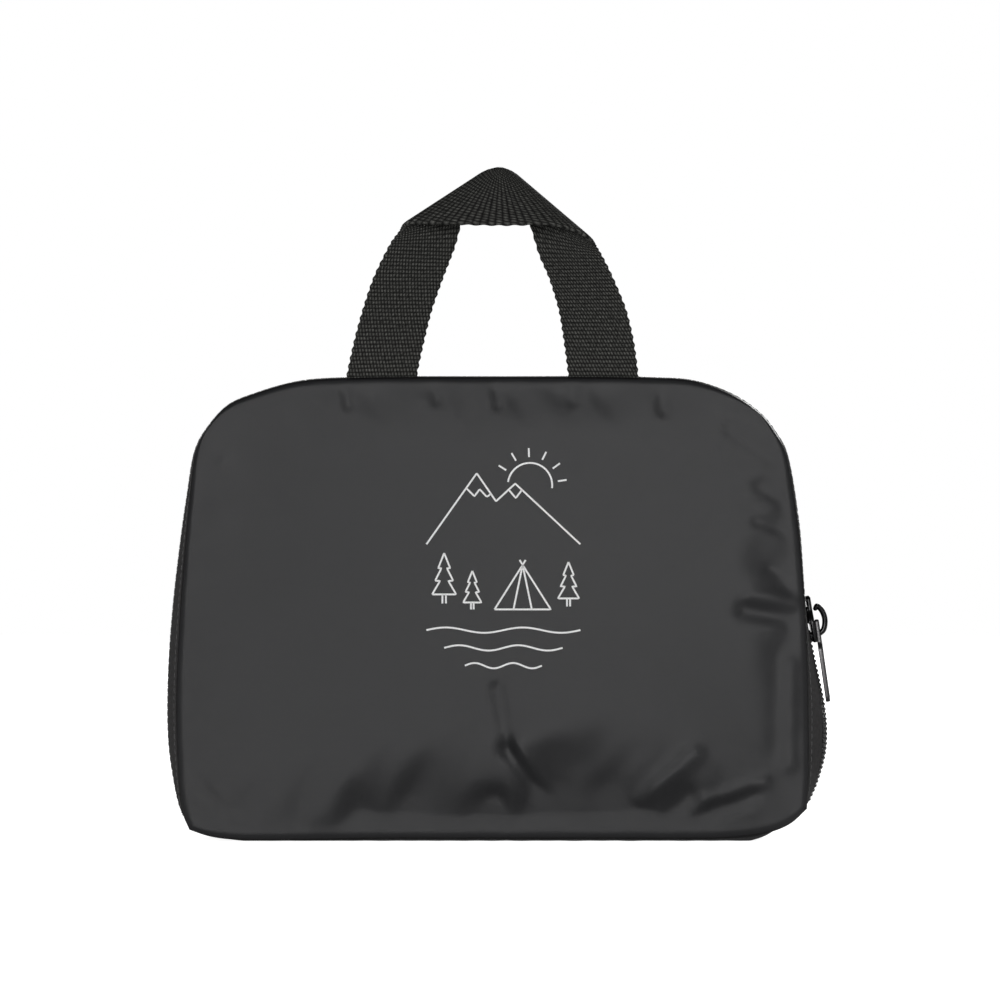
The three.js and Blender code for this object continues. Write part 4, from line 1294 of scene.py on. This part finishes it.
outer_plate = plate_piece("outer_plate", [plate_line], plate_out, PLATE, PLATE_BEVEL)
inner_plate = plate_piece("inner_plate", [plate_line], plate_in - PLATE, PLATE, PLATE_BEVEL)
post_line = corner_line([
    (-POST_WIDTH / 2, -top + POST_INSET, 0.6 * MM), (POST_WIDTH / 2, -top + POST_INSET, 0.6 * MM),
    (POST_WIDTH / 2, -top + POST_LENGTH, 1.0 * MM), (-POST_WIDTH / 2, -top + POST_LENGTH, 1.0 * MM),
])
post_height = plate_out - plate_in + 2 * POST_OVERLAP
post = plate_piece("post", [post_line], plate_in - POST_OVERLAP, post_height, 0.1 * MM)
lips = []
for side in (-1, 1):
    edge = np.array([(y, z) for y, z in plate_line if side * y > neck - 0.05 * MM and abs(z) < top - PLATE])
    edge = edge[np.argsort(edge[:, 1])]
    inside = edge - np.array([side * LIP_WALL, 0])
    lip_line = np.concatenate([edge, inside[::-1]])
    lips.append(plate_piece("lip", [lip_line], LIP_EDGE, plate_out - LIP_EDGE + LIP_OVERLAP, 0.14 * MM))
hook_line = smooth_curve([
    (plate_top - HOOK_WIRE / 2, hook_foot),
    *[(plate_top + HOOK_REACH * off, hook_foot + HOOK_LENGTH * along) for off, along in HOOK_ROWS],
    (plate_top + HOOK_WIRE / 2 + RUN_CLEAR, hook_foot + HOOK_LENGTH * HOOK_TIP),
], 8)
thin = np.interp(np.linspace(0, 1, len(hook_line)), [0, 0.15, 0.8, 1], [1.05, 1.0, 1.0, 0.86]) * HOOK_WIRE / 2
hook = swept_tube("hook", hook_line, thin, flat=1.1)
boss = swept_tube("boss", [(plate_top - 0.6 * MM, hook_foot - 0.1 * MM), (plate_top + 0.25 * MM, hook_foot)],
                  np.array([1.15, 1.05]) * MM)
slider_casting = join("slider_casting", [outer_plate, inner_plate, post, *lips, hook, boss])
slider_casting.data.transform(SLIDER_FRAME)
print("slider faces:", len(slider_casting.data.polygons))


# %% Metal materials
def metal_material(name, low, high, roughness, coat, grain):
    """Cast and tumbled metal: cloudy tone, and fine grain in its gloss and its surface."""
    material, tree, shader = node_material(name)
    stretch = add_node(tree, "ShaderNodeMapping", {"Vector": object_place(tree), "Scale": grain})
    cloud = noise(tree, stretch.outputs[0], 1, 5)
    tone = add_node(tree, "ShaderNodeMix", {"Factor": cloud, "A": low, "B": high}, data_type="RGBA")
    add_bump(tree, shader, cloud, 0.25, 0.03 * MM)
    set_inputs(tree, shader, {
        "Base Color": tone.outputs["Result"],
        "Roughness": mapped(tree, cloud, roughness * 0.75, roughness * 1.3),
        "Metallic": 1.0, "Coat Weight": coat, "Coat Roughness": 0.15,
    })
    return material


CASTING_TONES = ((0.006, 0.006, 0.0065, 1), (0.016, 0.016, 0.017, 1))
GUNMETAL_TONES = ((0.05, 0.05, 0.052, 1), (0.09, 0.087, 0.088, 1))
black_casting = metal_material("black_enamelled_zinc", *CASTING_TONES, 0.3, 0.4, (700, 700, 700))
gunmetal = metal_material("gunmetal_tab", *GUNMETAL_TONES, 0.33, 0.2, (900, 250, 60))
dress(slider_casting, POUCH, "slider_metal", black_casting, "slider")

# %% [markdown]
# ## Pull tab
# The tab is a stamped plate with a slot at its top. The slider's hook passes through the slot, and the
# tab swings on the bar above it. It is drawn as a flat curve with a hole in it, then turned to hang as it
# does in the photograph.

# %% Pull tab
TAB_LENGTH = 28.4 * MM
TAB_WIDTH = 8 * MM
TAB_WALL = 1.4 * MM
TAB_LEAN = math.radians(8.3)
TAB_TWIST = math.radians(5)
EYE_WIDTH = 5.6 * MM
EYE_BAR = 1 * MM
SLOT_LENGTH = 6.4 * MM
EYE_LIFT = 2.9 * MM

bar_out = plate_top + TAB_WALL / 2 + RUN_CLEAR
bar_up = hook_foot + HOOK_WIRE / 2 + RUN_CLEAR + EYE_BAR / 2 + EYE_LIFT
eye_pivot = SLIDER_FRAME @ Vector((bar_out, 0, bar_up))
tab_foot = EYE_BAR / 2 - TAB_LENGTH
tab_neck = -SLOT_LENGTH - EYE_BAR
tab_round = TAB_WIDTH / 4
tab_line = corner_line([
    (-EYE_WIDTH / 2, EYE_BAR / 2, EYE_BAR), (EYE_WIDTH / 2, EYE_BAR / 2, EYE_BAR),
    (EYE_WIDTH / 2, tab_neck, 0.9 * MM),
    (TAB_WIDTH / 2, tab_neck - tab_round, 0.9 * MM), (TAB_WIDTH / 2, tab_foot, tab_round),
    (-TAB_WIDTH / 2, tab_foot, tab_round), (-TAB_WIDTH / 2, tab_neck - tab_round, 0.9 * MM),
    (-EYE_WIDTH / 2, tab_neck, 0.9 * MM),
], 7)
slot_half = HOOK_WIRE / 2 + RUN_CLEAR
slot_line = corner_line([
    (-slot_half, -EYE_BAR / 2, 0.4 * MM), (slot_half, -EYE_BAR / 2, 0.4 * MM),
    (slot_half, -SLOT_LENGTH, 0.6 * MM), (-slot_half, -SLOT_LENGTH, 0.6 * MM),
], 5)
tab_body = plate_piece("tab_body", [tab_line, slot_line], -TAB_WALL / 2, TAB_WALL, 0.3 * MM)
tab_plate = join("tab_plate", [tab_body])
hang = Matrix.Rotation(-TAB_LEAN, 4, "Y") @ Matrix.Rotation(-TAB_TWIST, 4, "Z")
tab_plate.data.transform(Matrix.Translation(eye_pivot) @ hang)
dress(tab_plate, PULL, "tab_metal", gunmetal, "pull_tab")
print("tab hangs from mm:", [round(v / MM, 2) for v in eye_pivot])

# %% [markdown]
# ## Webbing handle
# The handle is one length of flat webbing. Both ends are sewn into the top seam, and the middle is folded
# over so that it lies across as a gable. A ribbon like this is ruled: straight lines run from one edge to
# the other. So two curves, one for each edge, hold the whole shape, and the grid between them gets the
# webbing's thickness.

# %% Handle edges
HANDLE_RISE = 71.2 * MM
SEWN_DEPTH = -DEPTH / 2 + SEAM_GAP + WEBBING_WALL / 2
EDGE_TENSION = 0.4

# Columns: outer edge across and up in shares of span and rise, its depth in webbing widths, and the reach
# from there to the inner edge in x, y and z, in webbing widths
HANDLE_ROWS = [
    (-0.5, 0, 0, 0.99, 0, 0), (-0.473, 0.171, -0.1, 0.98, 0.2, 0), (-0.442, 0.324, -0.17, 0.963, 0.32, 0),
    (-0.404, 0.476, -0.22, 0.963, 0.38, 0), (-0.349, 0.629, -0.26, 0.907, 0.42, 0),
    (-0.316, 0.69, -0.28, 0.892, 0.5, 0.27), (-0.305, 0.714, -0.31, 1.07, 0.56, 0.694),
    (-0.277, 0.726, -0.36, 1.08, 0.6, 0.772), (-0.146, 0.724, -0.42, 0.652, 0.62, 0.814),
    (0.026, 0.719, -0.44, 0, 0.62, 0.836), (0.198, 0.719, -0.42, -0.652, 0.62, 0.82),
    (0.301, 0.68, -0.36, -1, 0.58, 0.9), (0.34, 0.643, -0.31, -1.07, 0.54, 0.9),
    (0.352, 0.622, -0.28, -0.907, 0.48, 0.297), (0.373, 0.575, -0.26, -0.875, 0.42, 0.04),
    (0.409, 0.476, -0.22, -0.88, 0.42, 0), (0.455, 0.324, -0.17, -0.935, 0.34, 0),
    (0.483, 0.171, -0.1, -0.98, 0.15, 0), (0.5, 0, 0, -0.99, 0, 0),
]


def edge_curve(points, steps):
    """A curve with fixed tension through points, evenly spaced between them in steps."""
    points = np.asarray(points)
    ends = np.array([2 * points[0] - points[1], *points, 2 * points[-1] - points[-2]])
    place = np.linspace(0, len(points) - 1, steps)
    i = np.minimum(place.astype(int), len(points) - 2)
    t = (place - i)[:, None]
    a, b, c, d = (ends[i + k] for k in range(4))
    leave = EDGE_TENSION * (c - a)
    arrive = EDGE_TENSION * (d - b)
    square = 3 * (c - b) - 2 * leave - arrive
    cube = 2 * (b - c) + leave + arrive
    return b + leave * t + square * t ** 2 + cube * t ** 3


handle_table = np.array(HANDLE_ROWS)
outer_edge = np.stack([
    HANDLE_SHIFT + handle_table[:, 0] * HANDLE_SPAN,
    SEWN_DEPTH + handle_table[:, 2] * WEBBING,
    HEIGHT + handle_table[:, 1] * HANDLE_RISE,
], axis=-1)
inner_edge = outer_edge + handle_table[:, 3:] * WEBBING
sewn = np.array([0, 0, -SEWN_LENGTH])
outer_edge = np.array([outer_edge[0] + sewn, *outer_edge, outer_edge[-1] + sewn])
inner_edge = np.array([inner_edge[0] + sewn, *inner_edge, inner_edge[-1] + sewn])
print("handle rows:", len(HANDLE_ROWS))

# %% Handle mesh
HANDLE_STEPS = 560
HANDLE_COLUMNS = 48
PICK_PITCH = 1.4 * MM
SCALLOP_PITCH = 2 * PICK_PITCH
SCALLOP = 0.22 * MM
SCALLOP_REACH = 1.6 * MM
EDGE_ROUND = 0.9 * MM
EDGE_THIN = 0.45

FINE_STEPS = 4000


def step_lengths(line):
    return np.linalg.norm(np.diff(line, axis=0), axis=1)


fine_outer = edge_curve(outer_edge, FINE_STEPS)
fine_inner = edge_curve(inner_edge, FINE_STEPS)
# Rows are spaced by the middle's length, and a little by the outer edge's, which is longer round the fold
steps = np.maximum(step_lengths((fine_outer + fine_inner) / 2), 1e-7) + 0.25 * step_lengths(fine_outer)
run = np.concatenate([[0], np.cumsum(steps)])
even = np.interp(np.linspace(0, run[-1], HANDLE_STEPS + 1), run, np.arange(FINE_STEPS))
outer_line, inner_line = (
    np.stack([np.interp(even, np.arange(FINE_STEPS), line[:, k]) for k in range(3)], axis=-1)
    for line in (fine_outer, fine_inner)
)
share = np.linspace(0, 1, HANDLE_COLUMNS + 1)[None, :, None]
ruled = outer_line[:, None, :] * (1 - share) + inner_line[:, None, :] * share
along = np.concatenate([[0], np.cumsum(np.linalg.norm(np.diff(ruled, axis=0), axis=2).mean(axis=1))])
handle_normals = grid_normals(ruled)
from_edge = np.minimum(share, 1 - share)[..., 0] * WEBBING
edge_round = np.clip(from_edge / EDGE_ROUND, 0, 1) ** 0.5
scallop = np.sin(2 * math.pi * along[:, None] / SCALLOP_PITCH) * np.clip(1 - from_edge / SCALLOP_REACH, 0, 1)
ruling = (inner_line - outer_line) / np.linalg.norm(inner_line - outer_line, axis=1, keepdims=True)
way_out = np.where(share < 0.5, -1, 1) * ruling[:, None, :]
ruled = ruled + SCALLOP * scallop[..., None] * way_out
half_wall = (WEBBING_WALL / 2 * (EDGE_THIN + (1 - EDGE_THIN) * edge_round))[..., None]
handle_lengths = np.stack(np.broadcast_arrays(share[..., 0] * WEBBING, along[:, None]), axis=-1)
offset = handle_normals * half_wall
handle_webbing = wall_object("handle_webbing", ruled + offset, ruled - offset, handle_lengths)
print("handle length mm:", round(along[-1] / MM, 1))


# %% Webbing material
WEBBING_COLOR = (0.0265, 0.0265, 0.0245, 1)
WARP_COLUMNS = 22
WARP_LEAN = 0.35


def webbing_material():
    """Plain-woven webbing: thick picks across it, covered by warp threads that alternate from pick to pick
    like bricks, each leaning a little the way its thread is twisted."""
    material, tree, shader = node_material("woven_webbing")
    lengths, split = cloth_lengths(tree)

    def bulge(share, power):
        """A rise from 0 to 1 and back over one thread."""
        return compute(tree, "POWER", compute(tree, "SINE", compute(tree, "MULTIPLY", share, math.pi)), power)

    pick = compute(tree, "DIVIDE", split["Y"], PICK_PITCH)
    in_pick = compute(tree, "FRACT", pick)
    odd = compute(tree, "FLOORED_MODULO", compute(tree, "FLOOR", pick), 2)
    warp = compute(tree, "DIVIDE", split["X"], WEBBING / WARP_COLUMNS)
    shifted = compute(tree, "ADD", warp, compute(tree, "MULTIPLY", odd, 0.5))
    leaning = compute(tree, "ADD", shifted, compute(tree, "MULTIPLY", in_pick, WARP_LEAN))
    height = compute(tree, "MULTIPLY", bulge(compute(tree, "FRACT", leaning), 0.8), bulge(in_pick, 0.7))
    add_bump(tree, shader, height, 1.0, 0.3 * MM)
    specks = mapped(tree, noise(tree, lengths, 900, 3), 0.4, 1.6, 0.3, 0.7)
    # Painted shade in the hollows between threads and painted light on their crests, times random specks of
    # thread
    painted_light_and_shade = mapped(tree, compute(tree, "POWER", height, 1.6), 0.2, 3.1)
    shade = compute(tree, "MULTIPLY", painted_light_and_shade, specks)
    set_inputs(tree, shader, {
        "Base Color": tinted(tree, WEBBING_COLOR, shade), "Roughness": 0.85, "Specular IOR Level": 0.2,
    })
    return material


webbing = webbing_material()
dress(handle_webbing, POUCH, "webbing", webbing, "handle")

# %% [markdown]
# ## Folded bag inside
# Through the open end of the zip one sees the bag's own folded cloth, lying in soft layers. The rim of
# the bundle is a stack of rounded folds with a slight waver, and its two faces, which the panels hide,
# are plain crowned grids.

# %% Folded bag
LAYERS = 5
GROOVE = 1.6 * MM
LAYER_STEPS = 8
BUNDLE_COLUMNS = 78
BUNDLE_ROWS = 54
BUNDLE_ROUGH = 0.5 * MM
BUNDLE_DIP = 0.6 * MM


def shrink(places):
    return places * np.array([bundle_scale, bundle_rise]) + np.array([0, bundle_floor])


def edge_loop(grid):
    """The four edges of a grid as one closed loop, up, over, down and back."""
    return np.concatenate([grid[0, :-1], grid[:-1, -1], grid[-1, :0:-1], grid[:0:-1, 0]])


def make_bundle():
    places, s, t = seam_grid(BUNDLE_COLUMNS, BUNDLE_ROWS)
    places = shrink(places)
    share = crown_share(s, t)
    index = np.arange(s.size).reshape(s.shape)
    count = index.size
    points = []
    for side in (-1, 1):
        rough = BUNDLE_ROUGH * ripple(places[..., 0] / (30 * MM), 61 + side) * share
        height = side * (BUNDLE_DEPTH / 2 + (BUNDLE_CROWN - BUNDLE_DIP) * share + rough)
        points.append(np.stack([places[..., 0], height, places[..., 1]], axis=-1).reshape(-1, 3))
    quads = grid_quads(index)
    faces = [quads, (quads + count)[:, ::-1]]
    loop = edge_loop(index)
    rim = points[0][loop][:, [0, 2]]
    way = np.roll(rim, -1, axis=0) - np.roll(rim, 1, axis=0)
    way /= np.linalg.norm(way, axis=1, keepdims=True)
    normal = np.stack([-way[:, 1], way[:, 0]], axis=-1)
    run = np.arange(len(loop)) / len(loop)
    last = loop
    total = 2 * count
    for k in range(1, LAYERS * LAYER_STEPS):
        phase = k / LAYER_STEPS
        layer = int(phase)
        round_fold = 1 - abs(math.sin(math.pi * phase)) ** 0.6
        waver = 0.5 + 0.5 * ripple(run * 24, 70 + layer)
        inset = GROOVE * (0.7 * round_fold + 0.6 * waver)
        raised = rim[:, 1] > bundle_floor + GROOVE
        shifted = rim - normal * (inset * raised)[:, None]
        loose = math.sin(math.pi * min(phase, LAYERS - phase) / LAYERS)
        drift = BUNDLE_ROUGH * ripple(run * 15, 90 + layer) * loose
        y = BUNDLE_DEPTH * (phase / LAYERS - 0.5) + drift
        points.append(np.stack([shifted[:, 0], y, shifted[:, 1]], axis=-1))
        here = total + np.arange(len(loop))
        faces.append(np.stack([last, np.roll(last, -1), np.roll(here, -1), here], axis=-1))
        last = here
        total += len(loop)
    far = loop + count
    faces.append(np.stack([last, np.roll(last, -1), np.roll(far, -1), far], axis=-1))
    points = np.concatenate(points)
    faces = np.concatenate(faces).tolist()
    piece = mesh_object("bundle_layers", points, faces)
    tidy_mesh(piece)
    return piece


def lining_material():
    """The bag's own cloth: the pouch's nylon without its coating, with soft wrinkles."""
    material, tree, shader = node_material("folded_nylon")
    place = object_place(tree)
    wrinkles = noise(tree, place, 160, 6)
    threads = add_node(tree, "ShaderNodeTexWave", {"Vector": place, "Scale": 700}, bands_direction="Z")
    weave = compute(tree, "MULTIPLY", threads.outputs["Fac"], 0.12)
    add_bump(tree, shader, compute(tree, "ADD", weave, wrinkles), 0.7, 0.5 * MM)
    # The colour follows the wrinkles: painted shade in their hollows and painted light on their crests
    set_inputs(tree, shader, {
        "Base Color": mapped(tree, wrinkles, 0.024, 0.05), "Roughness": 0.6, "Sheen Weight": 0.1,
    })
    return material


bundle_layers = make_bundle()
dress(bundle_layers, POUCH, "bundle_cloth", lining_material(), "packed_bundle")

# %% [markdown]
# ## Printed pictogram
# The pouch carries a small drawing in thin white lines. This one is a plain outdoor scene: a sun behind
# two peaks, three firs, a tent and water. The lines are drawn flat, swept with a thin rectangle, and
# dropped on the front cloth by a Raycast node, so the ink follows every fold.

# %% Drawing
PRINT_MIDDLE = np.array([2.0, 95.0])
LINE = 0.62 * MM
INK = 0.09 * MM


def arc(x, z, radius, start, end, steps=28):
    turns = np.radians(np.linspace(start, end, steps))
    return [(x + radius * math.cos(a), z + radius * math.sin(a)) for a in turns]


def fir(x, z, height):
    """Three tiers of branches over a short trunk."""
    half_width = height * 0.24
    line = [(x, z + height)]
    for tier, width in ((0.7, 0.5), (0.45, 0.75), (0.18, 1.0)):
        reach = half_width * width
        line += [(x + reach, z + height * tier), (x + reach * 0.45, z + height * tier)]
    line += [(2 * x - px, pz) for px, pz in reversed(line[1:])] + [(x, z + height)]
    trunk = [[(x + half, z + height * 0.18), (x + half, z)] for half in (-height * 0.035, height * 0.035)]
    return [line, *trunk]


def water(z, start, end):
    """Two waves of a line from start to end."""
    shares = np.linspace(0, 1, 61)
    return [(start + (end - start) * share, z + 0.9 * math.sin(4 * math.pi * share)) for share in shares]


def rays(x, z, near, far, angles):
    return [arc(x, z, near, angle, angle, 1) + arc(x, z, far, angle, angle, 1) for angle in angles]


drawing = [
    arc(9, 26, 7.5, -8, 172), *rays(9, 26, 9.5, 12.5, (8, 36, 64, 92, 120, 148)),
    [(-26, 6), (-9, 30), (-2.5, 20.5), (4, 26.5), (26, 6)],
    [(-12.6, 25), (-9.8, 22.2), (-8, 24.6), (-5.6, 22), (-4.2, 23)],
    [(1.8, 24.4), (4.2, 21.6), (6.3, 24.4)],
    *fir(-20, -14, 17), *fir(-10.5, -16, 13), *fir(22, -15, 15),
    [(-3, -16), (6.5, -1), (16, -16), (-3, -16)],
    [(6.5, -1), (3.4, -16)], [(6.5, -1), (9.6, -16)], [(5.5, 0.7), (6.5, -1), (7.5, 0.7)],
    water(-23, -26, 26), water(-29, -20, 20), water(-35, -13, 13),
]
print("lines in the drawing:", len(drawing))


# %% Lay the ink on the cloth
def ink_tree():
    tree, keys, given = new_tree("ink_on_cloth", {
        "Lines": "Geometry", "Cloth": "Object", "Line width": "Float", "Ink height": "Float", "Step": "Float",
        "Material": "Material",
    }, "Ink")
    points = even_curve(tree, given["Lines"], given["Step"])
    upright = add_node(tree, "GeometryNodeSetCurveNormal", {"Curve": points}, mode="Z_UP")
    section = add_node(tree, "GeometryNodeCurvePrimitiveQuadrilateral", {
        "Width": given["Line width"], "Height": given["Ink height"],
    })
    sweep = add_node(tree, "GeometryNodeCurveToMesh", {
        "Curve": upright.outputs[0], "Profile Curve": section.outputs[0], "Fill Caps": True,
    })
    stand = add_node(tree, "GeometryNodeTransform", {
        "Geometry": sweep.outputs[0], "Rotation": (math.pi / 2, 0, 0),
    })
    target = add_node(tree, "GeometryNodeObjectInfo", {"Object": given["Cloth"]})
    place = add_node(tree, "GeometryNodeInputPosition", {})
    split = add_node(tree, "ShaderNodeSeparateXYZ", {0: place.outputs[0]}).outputs
    from_front = add_node(tree, "ShaderNodeCombineXYZ", {"X": split["X"], "Y": -0.1, "Z": split["Z"]})
    cast = add_node(tree, "GeometryNodeRaycast", {
        "Target Geometry": target.outputs["Geometry"], "Source Position": from_front.outputs[0],
        "Ray Direction": (0, 1, 0), "Ray Length": 0.2,
    })
    depth = add_node(tree, "ShaderNodeCombineXYZ", {"Y": split["Y"]})
    laid = {0: cast.outputs["Hit Position"], 1: depth.outputs[0]}
    laid = add_node(tree, "ShaderNodeVectorMath", laid, operation="ADD")
    move = {"Geometry": stand.outputs[0], "Position": laid.outputs[0]}
    move = add_node(tree, "GeometryNodeSetPosition", move)
    end_tree(tree, move.outputs[0], given["Material"])
    return tree, keys


def ink_material():
    """White screen ink, thin enough that the weave breaks it up a little."""
    material, tree, shader = node_material("white_ink")
    tone = mapped(tree, noise(tree, object_place(tree), 2600, 2), 0.8, 0.97, 0.3, 0.6)
    set_inputs(tree, shader, {"Base Color": tone, "Roughness": 0.7, "Specular IOR Level": 0.2})
    return material


white_ink = ink_material()
line_points = []
line_edges = []
for line in drawing:
    first = len(line_points)
    line_points += [((PRINT_MIDDLE[0] + x) * MM, (PRINT_MIDDLE[1] + z) * MM, 0) for x, z in line]
    line_edges += [(first + k, first + k + 1) for k in range(len(line) - 1)]
lines = mesh_object("drawing_lines", line_points, [], line_edges)
pictogram = run_tree("pictogram", lines, *ink_tree(), {
    "Cloth": front_cloth, "Line width": LINE, "Ink height": INK, "Step": 0.5 * MM, "Material": white_ink,
})
dress(pictogram, POUCH, "cloth", white_ink)
